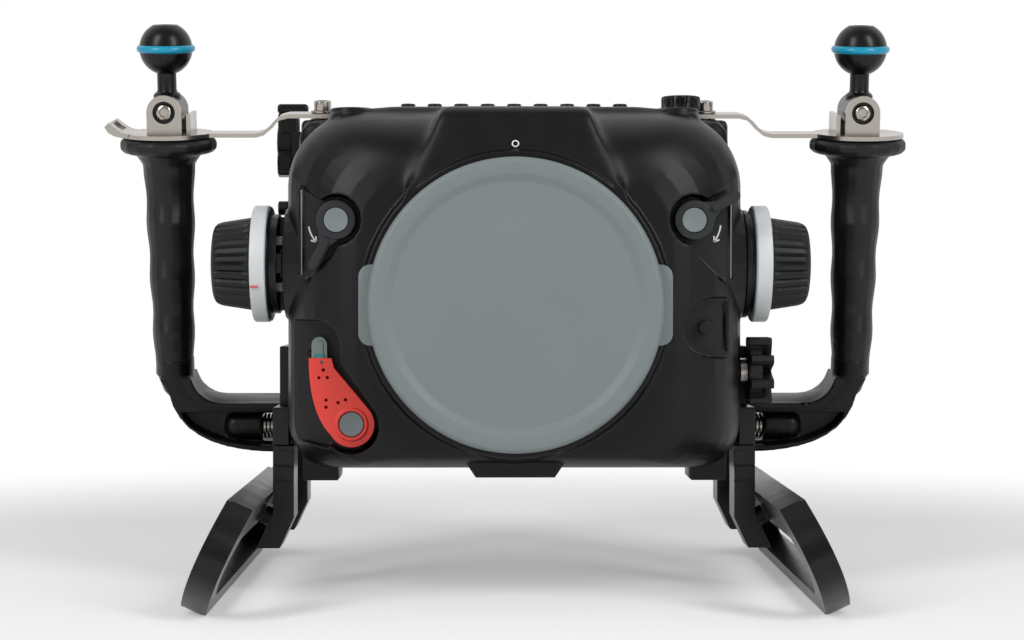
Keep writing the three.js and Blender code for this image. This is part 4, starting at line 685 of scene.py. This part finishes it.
class HOUSING_OT_front_shell(bpy.types.Operator):
    """Casts the front shell, with the soft edges and blends of its pockets and bosses"""

    bl_idname = "housing.front_shell"
    bl_label = "Front Shell"

    def execute(self, context):
        crown = [(-86, 223), (86, 223), (86, 226.2), (58, 229.6), (-58, 229.6), (-86, 226.2)]
        deck = facing(flat(crown, 34, 47), 0, 0)
        shell = merged(welded_copy("front_shell"), boss_skirt(-1), boss_skirt(1), deck, *pocket_lips())
        moulded(shell, sizes().casting_grid, 2)
        relaxed(shell, sizes().casting_passes, skin_weight)
        # Most faces go from the hollow first, and the rest evenly, to stay under 200,000
        thinned(shell, 0.22, inner_weight)
        apply_modifier(shell, "DECIMATE", ratio=0.38)
        standing_in(shell, "front_shell", "hard_anodised_aluminium", 60)
        # The pocket floors get a lighter grey: painted light, for the light that they catch
        refinished(shell, "milled_pocket_aluminium", pocket_floor)
        # Thin grey strips along the side lips of the pockets: a painted highlight where the lips catch
        # the light
        edges = ((-97.6, 150.5, 189.5), (98.8, 149, 184.5))
        for side, (x, low, high) in zip(("left", "right"), edges):
            edge = rounded(brick((x - 0.35, -66.0, low), (x + 0.35, -64.8, high)), 0.25)
            done(edge, side + "_pocket_edge", "housing", "bare_machined_edge")
        return {"FINISHED"}


class HOUSING_OT_back_cover(bpy.types.Operator):
    """Makes the back cover with its window and seal, its hinge pin and its latch"""

    bl_idname = "housing.back_cover"
    bl_label = "Back Cover"

    def execute(self, context):
        ears = [rounded(brick((left, 80, 198), (left + 24, 87, 233.2)), 3, 4) for left in (-111.1, 90.1)]
        cover = moulded(merged(welded_copy("back_cover"), *ears), sizes().cover_grid, 4, 0.5)
        standing_in(cover, "back_cover", "hard_anodised_aluminium", 60)
        milled("back_window", "clear_acrylic", 0.5)
        milled("back_cover_seal", "moulded_black_rubber", 0.3)
        milled("hinge_pin", "turned_stainless_steel", 0.3)
        milled("back_latch_base", "machined_black_aluminium", 0.5)
        bars = [brick((-120.1, 47.4, 233.6), (-104.4, 55.4, 238.5)),
                brick((-120, 49, 220), (-109.4, 59, 234)),
                brick((-119.4, 50.5, 208), (-110.8, 58.5, 222)),
                brick((-120.2, 48, 202), (-111.6, 59.5, 214))]
        lever = merged(*[rounded(bar, 1.6, 4) for bar in bars], welded_copy("back_latch_lever"))
        moulded(lever, 0.4 * MM, 3, 0.7)
        standing_in(lever, "back_latch_lever", "machined_black_aluminium", 50)
        return {"FINISHED"}


class HOUSING_OT_port(bpy.types.Operator):
    """Makes the port ring and turns the grey cap with its rim, its sunk face and its finger tabs"""

    bl_idname = "housing.port"
    bl_label = "Port Ring and Cap"

    def execute(self, context):
        milled("port_ring", "machined_black_aluminium", 0.5)
        disc = turned([(84.3, 50.6), (81.3, 50.6), (81.3, 54.7), (84.3, 54.7), (84.3, 65.6), (84.7, 66),
                       (94.2, 66), (95.4, 65.7), (96.2, 65.1), (96.7, 64.2), (96.8, 63.2), (96.8, 58.6),
                       (96.6, 58.2), (95.3, 55.4), (95.1, 55.0), (95.1, 54.2)], 160)
        tabs = []
        for side in (1, -1):
            outline = ([(56, -18.2)] + arc((64.9, -12.8), 5.4, -90, 0, 6)
                       + arc((64.9, 12.8), 5.4, 0, 90, 6) + [(56, 18.2)])
            outline = [(side * x, y) for x, y in outline]
            tabs.append(rounded(flat(outline, 84.4, 89.3), 0.7, 3, 50))
        mark = settled(hoop(1.5, 0.28, 32, 8), (0, 61.7 * MM, 96.75 * MM))
        cap = facing(merged(disc, *tabs, mark), 0, PORT_HEIGHT)
        standing_in(cap, "port_cap", "moulded_grey_nylon", 28)
        ring = hoop(1.4, 0.3, 48, 8)
        for corner in ring.data.vertices:
            corner.co.z *= 0.4
        point, normal = on_front(0, 209.7)
        ring.rotation_euler = normal.to_track_quat("Z", "Y").to_euler()
        ring.location = point + normal * (0.4 * MM)
        done(ring, "index_ring", "housing", "white_enamel_mark", angle=60)
        return {"FINISHED"}


class HOUSING_OT_lock_levers(bpy.types.Operator):
    """Makes the two lock levers, their discs and the arrows behind them"""

    bl_idname = "housing.lock_levers"
    bl_label = "Lock Levers"

    def execute(self, context):
        for side, sign, tip in (("left", -1, 22.9), ("right", 1, 21.8)):
            way = math.radians(LOCK_ANGLES[side])
            hub = turned([(52.2, 3), (64.3, 3), (64.3, 8.7), (64.9, 9.15), (72.6, 9.15), (73.0, 9.0),
                          (73.3, 8.6), (73.3, 5.95), (70.4, 5.95)], 96)
            low, start, end = [(r * math.cos(way), r * math.sin(way)) for r in (8, 11.6, tip)]
            root = [(9 * math.cos(way + a), 9 * math.sin(way + a)) for a in (0.6, 0.3, 0, -0.3, -0.6)]
            narrow = [(12.4 * math.cos(way + a), 12.4 * math.sin(way + a)) for a in (-0.21, 0.21)]
            lever = merged(hub, flat(narrow + root, 67.4, 72.9),
                           flat(capsule(low, end, 2.5), 67.4, 71.6),
                           flat(capsule(start, end, 1.95), 71.4, 74.6))
            facing(moulded(lever, 0.2 * MM, 2, 0.4), sign * LOCK_PLACE[0], LOCK_PLACE[1])
            standing_in(lever, side + "_lock_lever", "blasted_lever_aluminium", 50)
            disc = turned([(70.9, 5.6), (73.0, 5.6), (73.3, 5.3), (73.3, 5.0), (73.2, 4.8)], 72)
            facing(disc, sign * LOCK_PLACE[0], LOCK_PLACE[1])
            standing_in(disc, side + "_lock_disc", "moulded_grey_nylon", 28)
        for side, sign, beside, *sweep in (("left", -1, -12, (0.9, -0.3), 14.2, 190, 222),
                                           ("right", 1, 11.5, (-2.2, -0.5), 15.2, -6, -37)):
            hub = (sign * LOCK_PLACE[0], LOCK_PLACE[1])
            depth = -on_front(hub[0] + beside, hub[1] - 6)[0].y / MM
            done(painted_arrow(hub, *sweep, depth), side + "_lock_arrow", "housing",
                 "white_enamel_mark")
        return {"FINISHED"}


class HOUSING_OT_record_lever(bpy.types.Operator):
    """Makes the red record lever with its rim and blind holes, its disc and its tip"""

    bl_idname = "housing.record_lever"
    bl_label = "Record Lever"

    def execute(self, context):
        x, z = RECORD_PLACE
        rim = turned([(65.0, 6.0), (65.8, 6.1), (65.9, 6.4), (65.9, 7.3), (65.7, 7.6), (65.0, 7.7),
                      (65.0, 6.0)], 72, hollow=True)
        drills = [facing(turned([(58.6, 0.8), (66.5, 0.8)], 16), x + dx, z + dz)
                  for dx, dz in RECORD_HOLES]
        lever = merged(welded_copy("record_lever"), facing(rim, x, z))
        moulded(lever, 0.25 * MM, 3)
        shaped(lever, *drills, operation="DIFFERENCE")
        standing_in(lever, "record_lever", "moulded_red_nylon", 40)
        disc = turned([(62.9, 5.6), (65.0, 5.6), (65.3, 5.3), (65.3, 5.0), (65.2, 4.8)], 72)
        standing_in(facing(disc, x, z), "record_lever_disc", "moulded_grey_nylon", 28)
        low, high = (x - 14.7, z + 29.2), (x - 14.7, z + 36.6)
        pad = flat(capsule((low[0], low[1] + 2), high, 1.7), 64, 65.0)
        tip = merged(flat(capsule(low, high, 3.55), 57.8, 64.5), pad)
        facing(moulded(tip, 0.2 * MM, 3, 0.5), 0, 0)
        standing_in(tip, "record_lever_tip", "moulded_grey_nylon", 50)
        band = facing(flat([(x - 17.0, z + 31.1), (x - 12.4, z + 31.1), (x - 12.4, z + 32.2),
                            (x - 17.0, z + 32.2)], 64.2, 65.1), 0, 0)
        done(band, "record_tip_band", "record", "teal_enamel_band")
        pin = turned([(56, 1.7), (57.15, 1.7), (57.4, 1.5), (57.5, 1.2), (57.5, 0.6)], 32)
        done(facing(pin, -95.2, 114.7), "record_stop_pin", "housing", "machined_black_aluminium")
        return {"FINISHED"}


class HOUSING_OT_buttons(bpy.types.Operator):
    """Makes the push buttons and the fluted dial"""

    bl_idname = "housing.buttons"
    bl_label = "Buttons and Dial"

    def execute(self, context):
        buttons = ["top_button_%d" % number for number in range(1, 10)]
        for button in buttons + ["side_button", "lens_release_button"]:
            milled(button, "moulded_black_nylon", 0.6, 3)
        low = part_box("top_dial")[0][2] / MM
        dial = turned([(low, 3), (229.4, 3), (229.4, 8.6), (230.1, 9.3), (231.5, 9.3), (233, 9.3),
                       (234.4, 9.3), (235.2, 9.2), (235.7, 8.8), (235.9, 8.2), (235.9, 7.4),
                       (235.5, 7.0)], 240)
        fluted(dial, 24, 0.7, 229.6, 235.7, 0.28, 0.8)
        settled(dial, place_of(79.5, -24, 0))
        standing_in(dial, "top_dial", "machined_black_aluminium", 30)
        return {"FINISHED"}


class HOUSING_OT_knobs(bpy.types.Operator):
    """Makes the two focus knobs with their pale rings, the collar and the stand"""

    bl_idname = "housing.knobs"
    bl_label = "Focus Knobs"

    def execute(self, context):
        milled("left_knob_stand", "machined_black_aluminium", 0.5)
        milled("right_knob_collar", "machined_black_aluminium", 0.6, 3)
        flutes = 32
        for side, low, root in (("left", 115.2, 122.9), ("right", 112.0, 119.7)):
            pale = turned([(low, 17), (low, 26.9), (low + 0.6, 27.5), (low + 6.6, 27.5),
                           (low + 7.2, 27.2), (low + 7.4, 26.7), (low + 7.4, 17), (low, 17)], 160,
                          hollow=True)
            sideways(pale, side, *KNOB_PLACE)
            standing_in(pale, side + "_knob_ring", "turned_white_acetal", 30)
            tube = [(96.4, 4), (root, 4), (root, 20.8), (root + 0.3, 21.6), (root + 0.8, 21.9)]
            tube += [(root + 0.8 + 1.52 * step, 21.9 - 0.235 * step) for step in range(1, 10)]
            tube += [(root + 16.0, 19.3), (root + 17.1, 18.8), (root + 18.0, 17.9), (root + 18.5, 16.8),
                     (root + 18.7, 15.6), (root + 18.7, 13.5), (root + 18.3, 12.8), (root + 18.3, 12.0)]
            grip = turned(tube, flutes * 12)
            fluted(grip, flutes, 0.95, root + 0.6, root + 17.7, 0.25, 1.8)
            sideways(grip, side, *KNOB_PLACE)
            standing_in(grip, side + "_knob_grip", "moulded_black_rubber", 30)
        back = sideways(turned([(114.2, 17), (114.2, 26.2), (114.6, 26.9), (115.2, 27.1), (115.2, 17),
                                (114.2, 17)], 160, hollow=True), "left", *KNOB_PLACE)
        done(back, "left_knob_ring_backing", "left_knob", "machined_black_aluminium")
        tick = brick((-122.2, -58.4, 144.8), (-118.4, -57.1, 145.4))
        done(tick, "left_knob_tick", "left_knob", "red_enamel_mark")
        return {"FINISHED"}


class HOUSING_OT_control_wheel(bpy.types.Operator):
    """Makes the lobed control wheel and its gland"""

    bl_idname = "housing.control_wheel"
    bl_label = "Control Wheel"

    def execute(self, context):
        wheel = moulded(welded_copy("control_wheel"), 0.3 * MM, 3, 0.6)
        standing_in(wheel, "control_wheel", "moulded_black_rubber", 50)
        milled("control_wheel_gland", "turned_stainless_steel", 0.3)
        return {"FINISHED"}


def corner_tube(side):
    """The moulded tube that carries the grip's shape round the corner and along the arm. Its
    middle line is given out and up in the handle's frame, with its half thickness there."""
    path = [(52.6, 34), (52.3, 27), (50.8, 20.6), (47.6, 16), (42.6, 13.2), (36, 11.9), (28, 11.3),
            (19, 11), (10, 10.9), (1, 10.9)]
    high = [9.3, 9.1, 8.0, 6.4, 5.0, 3.9, 3.2, 2.8, 2.6, 2.5]
    tube = turned([(index + 1, 1) for index in range(len(path))], 32)
    for corner in tube.data.vertices:
        index = round(corner.co.z / MM) - 1
        before, after = path[max(0, index - 1)], path[min(len(path) - 1, index + 1)]
        length = math.dist(before, after)
        across = corner.co.x * high[index]
        x = path[index][0] * MM - (after[1] - before[1]) / length * across
        z = path[index][1] * MM + (after[0] - before[0]) / length * across
        corner.co = (x, corner.co.y * (13 - 0.09 * index), z)
    straighten(tube)
    return in_handle(tube, side)


def finger_rests(grip):
    """Presses the rests for the fingers into a grip's front, with a sharp ridge between two rests"""
    pitch, ridge, depth, first, last = 26.6, 148.4, 1.5, 108, 201
    fronts = [max(0.0, -corner.normal.y) for corner in grip.data.vertices]
    for corner, front in zip(grip.data.vertices, fronts):
        height = corner.co.z / MM
        if first < height < last:
            ends = min(1.0, (height - first) / 5, (last - height) / 8)
            dip = abs(math.sin(math.pi * (height - ridge) / pitch))
            corner.co.y += depth * MM * dip * ends * front


class HOUSING_OT_handles(bpy.types.Operator):
    """Makes the handle arms, their rubber grips and the washers of the handle bolts"""

    bl_idname = "housing.handles"
    bl_label = "Handles"

    def execute(self, context):
        for side in ("left", "right"):
            boss = turned([(124.6, 3), (124.6, 6.9), (138.6, 6.9), (141, 5.8), (142.4, 3.6)], 40)
            sideways(boss, side, 17.5, 76.6)
            shank = sideways(turned([(114.9, 3.6), (126, 3.6)], 40), side, *WASHER_PLACE)
            notch = settled(brick((113, -20, 68.6), (124.9, 27, 82.4)), mirror=side == "left")
            arm = shaped(welded_copy(side + "_handle_arm"), notch, operation="DIFFERENCE")
            merged(arm, corner_tube(side), boss, shank)
            moulded(arm, sizes().fine_grid, 4, 0.6)
            standing_in(arm, side + "_handle_arm", "hard_anodised_aluminium", 60)
            grip = moulded(welded_copy(side + "_handle_grip"), sizes().fine_grid, 5)
            finger_rests(grip)
            apply_modifier(grip, "DECIMATE", ratio=0.6)
            standing_in(grip, side + "_handle_grip", "moulded_black_rubber", 60)
            for number, start in enumerate((118.9, 120.7, 122.5)):
                washer = turned([(start, 4), (start, 5.9), (start + 0.25, 6.15), (start + 1.15, 6.15),
                                 (start + 1.4, 5.9), (start + 1.4, 4), (start, 4)], 64, hollow=True)
                sideways(washer, side, *WASHER_PLACE)
                done(washer, side + "_handle_washer_%d" % (number + 1), "housing",
                     "turned_stainless_steel", angle=30)
        return {"FINISHED"}


class HOUSING_OT_handle_plates(bpy.types.Operator):
    """Makes the stamped plates on the handles and the bolts that hold them at the shoulders"""

    bl_idname = "housing.handle_plates"
    bl_label = "Handle Plates"

    def execute(self, context):
        for side in ("left", "right"):
            milled(side + "_handle_plate", "brushed_stainless_steel", 0.45, 3)
            rises = ((-12, 2), (0, 2), (0, 5.4), (0.25, 5.6), (0.9, 5.6), (1.1, 5.4), (1.1, 4.0),
                     (1.3, 4.2), (5.0, 4.2), (5.4, 4.1), (5.7, 3.8), (5.8, 3.4), (5.8, 2.4), (3.2, 2.2))
            bolt = turned([(SHOULDER_HEIGHT + rise, radius) for rise, radius in rises], 144)
            in_handle(bolt, side, (SHOULDER_OUT, 0, 0))
            standing_in(bolt, side + "_shoulder_bolt", "turned_stainless_steel", 30)
        return {"FINISHED"}


class HOUSING_OT_ball_mounts(bpy.types.Operator):
    """Turns the ball mounts, their O-rings and their pivot bolts"""

    bl_idname = "housing.ball_mounts"
    bl_label = "Ball Mounts"

    def execute(self, context):
        neck = 4.6
        first = -math.degrees(math.acos(neck / BALL_RADIUS))
        last = math.degrees(math.asin(11.1 / BALL_RADIUS))
        stem = [(PIVOT_HEIGHT + rise, radius)
                for rise, radius in ((2, 6.6), (7.6, 6.6), (8.4, 6.0), (9.2, 4.9), (10.2, neck))]
        ball = [(BALL_HEIGHT + y, x) for x, y in arc((0, 0), BALL_RADIUS, first, last, 26)]
        top = [(BALL_HEIGHT + rise, radius)
               for rise, radius in ((11.3, 5.9), (11.35, 5.6), (11.35, 3.9), (11.0, 3.5), (4, 3.5))]
        pivot = (0, 0, PIVOT_HEIGHT * MM)
        for side in ("left", "right"):
            lug = turned([(-10.7, 7.7), (-10.2, 8.3), (10.2, 8.3), (10.7, 7.7)], 48)
            settled(settled(lug, turn=(90, 0, 0)), pivot)
            mount = in_handle(merged(turned(stem + ball + top, 96), lug), side, (BALL_OUT, 0, 0))
            standing_in(mount, side + "_ball_mount", "machined_black_aluminium", 30)
            ring = hoop(11.95, 2.05, 96, 24)
            # The stretched ring is a little squarer than round in its section
            for corner in ring.data.vertices:
                corner.co.z *= 1 + 0.06 * math.cos(4 * math.atan2(corner.co.z, 2 * MM))
            settled(ring, (0, 0, BALL_HEIGHT * MM))
            in_handle(ring, side, (BALL_OUT, 0, 0))
            standing_in(ring, side + "_ball_ring", "blue_silicone_rubber", 60)
            shank = turned([(-13.2, 2.6), (11.0, 2.6), (11.0, 3.5), (11.3, 3.8), (12.2, 3.8),
                            (12.9, 3.5), (13.3, 2.9), (13.4, 2.2), (12.4, 1.9), (12.0, 1.9)], 48)
            nut = rounded(turned([(-16.6, 5.4), (-13.3, 5.4)], 6), 0.4, 2)
            bolt = settled(settled(merged(shank, nut), turn=(90, 0, 0)), pivot)
            in_handle(bolt, side, (BALL_OUT, 0, 0))
            standing_in(bolt, side + "_ball_pivot_bolt", "turned_stainless_steel", 30)
        return {"FINISHED"}


def bend(start, control, end, steps=28):
    """Points on a curve that a control point draws from its start to its end"""
    points = []
    for step in range(steps + 1):
        t = step / steps
        points.append(tuple((1 - t) ** 2 * a + 2 * t * (1 - t) * c + t * t * b
                            for a, c, b in zip(start, control, end)))
    return points


def in_loop(piece, side):
    """Leans a piece that was drawn flat, in depth and height, into the plane of a leg loop"""
    foot, lean = LOOP_FOOT * MM, math.radians(LOOP_LEAN)
    for corner in piece.data.vertices:
        depth, height, out = corner.co
        corner.co = (MIDDLE + foot - height * math.sin(lean) + out * math.cos(lean), depth,
                     height * math.cos(lean) + out * math.sin(lean) - MM)
    straighten(piece)
    return settled(piece, mirror=side == "left")


def leg_loop(side):
    """A leg loop with its curved nose, its narrower outer lip and the window through it"""
    def outline(inset):
        nose = bend((-114 + inset, 54 - inset), (-158 + 1.6 * inset, 24), (-98, 0))
        heel = bend((124, 0), (143.4 - inset, 5), (119 - inset, 18 - inset), 12)
        return nose + heel + [(58, 54 - inset)]

    window = (bend((-94.7, 10), (-134, 24), (-104, 39)) + [(50.5, 39), (98, 10)])[::-1]
    loop = shaped(flat(outline(0), 0, 10.1), flat(outline(0.8), 10, 12.1))
    shaped(loop, flat(window, -1, 13), operation="DIFFERENCE")
    rounded(loop, 0.8, 3, 24)
    in_loop(loop, side)
    shaped(loop, settled(brick((60, -200, -20), (200, 200, 0)), mirror=side == "left"),
           operation="DIFFERENCE")
    return loop


def grooved(node, heights, front):
    """Cuts shallow lines across a piece's front and raises a pad above each of them"""
    low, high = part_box(node)
    left, right = (low[0] - MIDDLE) / MM - 1, (high[0] - MIDDLE) / MM + 1
    sign = math.copysign(1, left + right)
    inner, outer = sorted((sign * 104.7, sign * 113.9))

    def cut(piece):
        shaped(piece, *[brick((left, front - 1, z - 0.3), (right, front + 0.45, z + 0.3))
                        for z in heights], operation="DIFFERENCE")
        pads = ((heights[0] + 0.9, heights[1] - 0.3), (heights[1] + 0.7, heights[1] + 7.3))
        shaped(piece, *[brick((inner, front - 0.8, bottom), (outer, front + 2, top))
                        for bottom, top in pads])
    return cut


class HOUSING_OT_legs(bpy.types.Operator):
    """Makes the side rails, the legs and the leg loops"""

    bl_idname = "housing.legs"
    bl_label = "Rails and Legs"

    def execute(self, context):
        for side in ("left", "right"):
            milled(side + "_side_rail", "machined_black_aluminium", 0.6)
            leg = side + "_front_leg"
            milled(leg, "machined_black_aluminium", 0.7, 3, grooved(leg, (53.0, 60.2), -32))
            milled(side + "_rear_leg", "machined_black_aluminium", 0.6)
            standing_in(leg_loop(side), side + "_leg_loop", "machined_black_aluminium", 36, True)
        return {"FINISHED"}


class HOUSING_OT_inner_parts(bpy.types.Operator):
    """Makes the camera tray and its screw"""

    bl_idname = "housing.inner_parts"
    bl_label = "Camera Tray"

    def execute(self, context):
        milled("camera_tray", "machined_black_aluminium", 0.5)
        milled("camera_screw", "turned_stainless_steel", 0.3)
        return {"FINISHED"}


# Stage


def soft_lamp(name, place, aim, width, height, power):
    """A rectangular soft box that points at a place"""
    lamp = bpy.data.lights.new(name, "AREA")
    lamp.shape = "RECTANGLE"
    lamp.size, lamp.size_y, lamp.energy = width, height, power
    holder = bpy.data.objects.new(name, lamp)
    bpy.context.scene.collection.objects.link(holder)
    holder.location = place
    holder.rotation_euler = (Vector(aim) - Vector(place)).to_track_quat("-Z", "Y").to_euler()
    holder.visible_camera = False


def seen_rays(holder):
    """One for what the camera, mirrors and glass see, and nothing for light"""
    path = add_node(holder, "ShaderNodeLightPath")
    seen = add_node(holder, "ShaderNodeMath",
                    {0: path.outputs["Is Camera Ray"], 1: path.outputs["Is Glossy Ray"]},
                    operation="MAXIMUM")
    return add_node(holder, "ShaderNodeMath",
                    {0: seen.outputs[0], 1: path.outputs["Is Transmission Ray"]},
                    operation="MAXIMUM").outputs[0]


def floor_material():
    """Matt white paper, lit near the object and plain white to the eye farther off"""
    material = new_material("white_paper")
    place = add_node(material, "ShaderNodeTexCoord").outputs["Object"]
    mottle = add_node(material, "ShaderNodeTexNoise", {"Vector": place, "Scale": 3.0, "Detail": 2.0})
    tone = add_node(material, "ShaderNodeMix",
                    {0: mottle.outputs["Fac"], 6: linear("#f2f2f2"), 7: linear("#f6f6f6")},
                    data_type="RGBA")
    matt = add_node(material, "ShaderNodeBsdfDiffuse", {"Color": tone.outputs[2]})
    seen = seen_rays(material)
    level = add_node(material, "ShaderNodeMath", {0: seen, 1: sizes().floor_glow}, operation="MULTIPLY")
    glow = add_node(material, "ShaderNodeEmission",
                    {"Color": (1, 1, 1, 1), "Strength": level.outputs[0]})
    near = add_node(material, "ShaderNodeAddShader", {0: matt.outputs[0], 1: glow.outputs[0]})
    white = add_node(material, "ShaderNodeEmission", {"Color": (1, 1, 1, 1), "Strength": 1.0})
    away = add_node(material, "ShaderNodeVectorMath", {0: place}, operation="LENGTH")
    rim = add_node(material, "ShaderNodeMapRange",
                   {"Value": away.outputs["Value"], "From Min": 0.36, "From Max": 0.72},
                   interpolation_type="SMOOTHSTEP")
    share = add_node(material, "ShaderNodeMath", {0: rim.outputs[0], 1: seen}, operation="MULTIPLY")
    both = add_node(material, "ShaderNodeMixShader",
                    {0: share.outputs[0], 1: near.outputs[0], 2: white.outputs[0]})
    add_node(material, "ShaderNodeOutputMaterial", {"Surface": both.outputs[0]})
    return material


def studio_world(context):
    """Soft light from all round, white behind the object and dim where the camera stands"""
    world = bpy.data.worlds.new("studio")
    context.scene.world = world
    world.use_nodes = True
    world.node_tree.nodes.clear()
    way = add_node(world, "ShaderNodeSeparateXYZ",
                   {0: add_node(world, "ShaderNodeTexCoord").outputs["Object"]})
    behind = add_node(world, "ShaderNodeMapRange",
                      {"Value": way.outputs["Y"], "From Min": -0.25, "From Max": 0.35,
                       "To Min": sizes().front_level, "To Max": 1.0}, interpolation_type="SMOOTHSTEP")
    path = add_node(world, "ShaderNodeLightPath")
    mirrored = add_node(world, "ShaderNodeMix",
                        {0: path.outputs["Is Glossy Ray"], 2: sizes().fill_level, 3: behind.outputs[0]})
    seen = add_node(world, "ShaderNodeMath",
                    {0: path.outputs["Is Camera Ray"], 1: path.outputs["Is Transmission Ray"]},
                    operation="MAXIMUM")
    level = add_node(world, "ShaderNodeMix", {0: seen.outputs[0], 2: mirrored.outputs[0], 3: 1.0})
    sky = add_node(world, "ShaderNodeBackground", {"Color": (1, 1, 1, 1), "Strength": level.outputs[0]})
    add_node(world, "ShaderNodeOutputWorld", {"Surface": sky.outputs[0]})


class HOUSING_OT_stage(bpy.types.Operator):
    """Sets up the white floor, the soft boxes, the world and the camera"""

    bl_idname = "housing.stage"
    bl_label = "Stage"

    def execute(self, context):
        start_clean()
        bpy.ops.mesh.primitive_plane_add(size=40, location=(0, 0, 0))
        floor = context.object
        floor.name = "floor"
        floor.data.materials.append(floor_material())
        studio_world(context)
        for name, side in (("left_key", -1), ("right_key", 1)):
            soft_lamp(name, (side * 1.05, -1.25, 1.05), (0, 0, 0.13), 0.45, 1.3, sizes().key_power)
        view = bpy.data.cameras.new("camera")
        holder = bpy.data.objects.new("camera", view)
        context.scene.collection.objects.link(holder)
        view.sensor_width = 36
        # The photo's focal length is 2100 of its own pixels, and it is 1024 pixels wide
        view.lens = view.sensor_width * 2100 / 1024
        holder.location = (-0.00895, -1.027, 0.146)
        yaw, pitch = math.radians(0.6), math.radians(0.955)
        aim = Vector((math.sin(yaw) * math.cos(pitch), math.cos(yaw) * math.cos(pitch),
                      -math.sin(pitch)))
        holder.rotation_euler = aim.to_track_quat("-Z", "Y").to_euler()
        view.clip_start, view.clip_end = 0.01, 100
        context.scene.camera = holder
        context.scene.view_settings.view_transform = "Standard"
        return {"FINISHED"}


STEPS = (
    HOUSING_OT_front_shell, HOUSING_OT_back_cover, HOUSING_OT_port, HOUSING_OT_lock_levers,
    HOUSING_OT_record_lever, HOUSING_OT_buttons, HOUSING_OT_knobs, HOUSING_OT_control_wheel,
    HOUSING_OT_handles, HOUSING_OT_handle_plates, HOUSING_OT_ball_mounts, HOUSING_OT_legs,
    HOUSING_OT_inner_parts, HOUSING_OT_stage,
)


class HOUSING_PT_panel(bpy.types.Panel):
    """Lists the sizes, the colours and the pieces"""

    bl_idname = "HOUSING_PT_panel"
    bl_label = "Camera Housing"
    bl_space_type = "VIEW_3D"
    bl_region_type = "UI"
    bl_category = "Housing"

    def draw(self, context):
        for group in (context.scene.housing_sizes, context.scene.housing_colours):
            box = self.layout.box()
            for name in group.__annotations__:
                box.prop(group, name)
        for step in STEPS:
            self.layout.operator(step.bl_idname)


CLASSES = (HousingSizes, HousingColours) + STEPS + (HOUSING_PT_panel,)


def register():
    for entry in CLASSES:
        bpy.utils.register_class(entry)
    bpy.types.Scene.housing_sizes = PointerProperty(type=HousingSizes)
    bpy.types.Scene.housing_colours = PointerProperty(type=HousingColours)


def unregister():
    del bpy.types.Scene.housing_colours
    del bpy.types.Scene.housing_sizes
    for entry in reversed(CLASSES):
        bpy.utils.unregister_class(entry)


def main():
    """Makes every piece in order"""
    register()
    for step in STEPS:
        group, name = step.bl_idname.split(".")
        getattr(getattr(bpy.ops, group), name)()


if __name__ == "__main__":
    main()
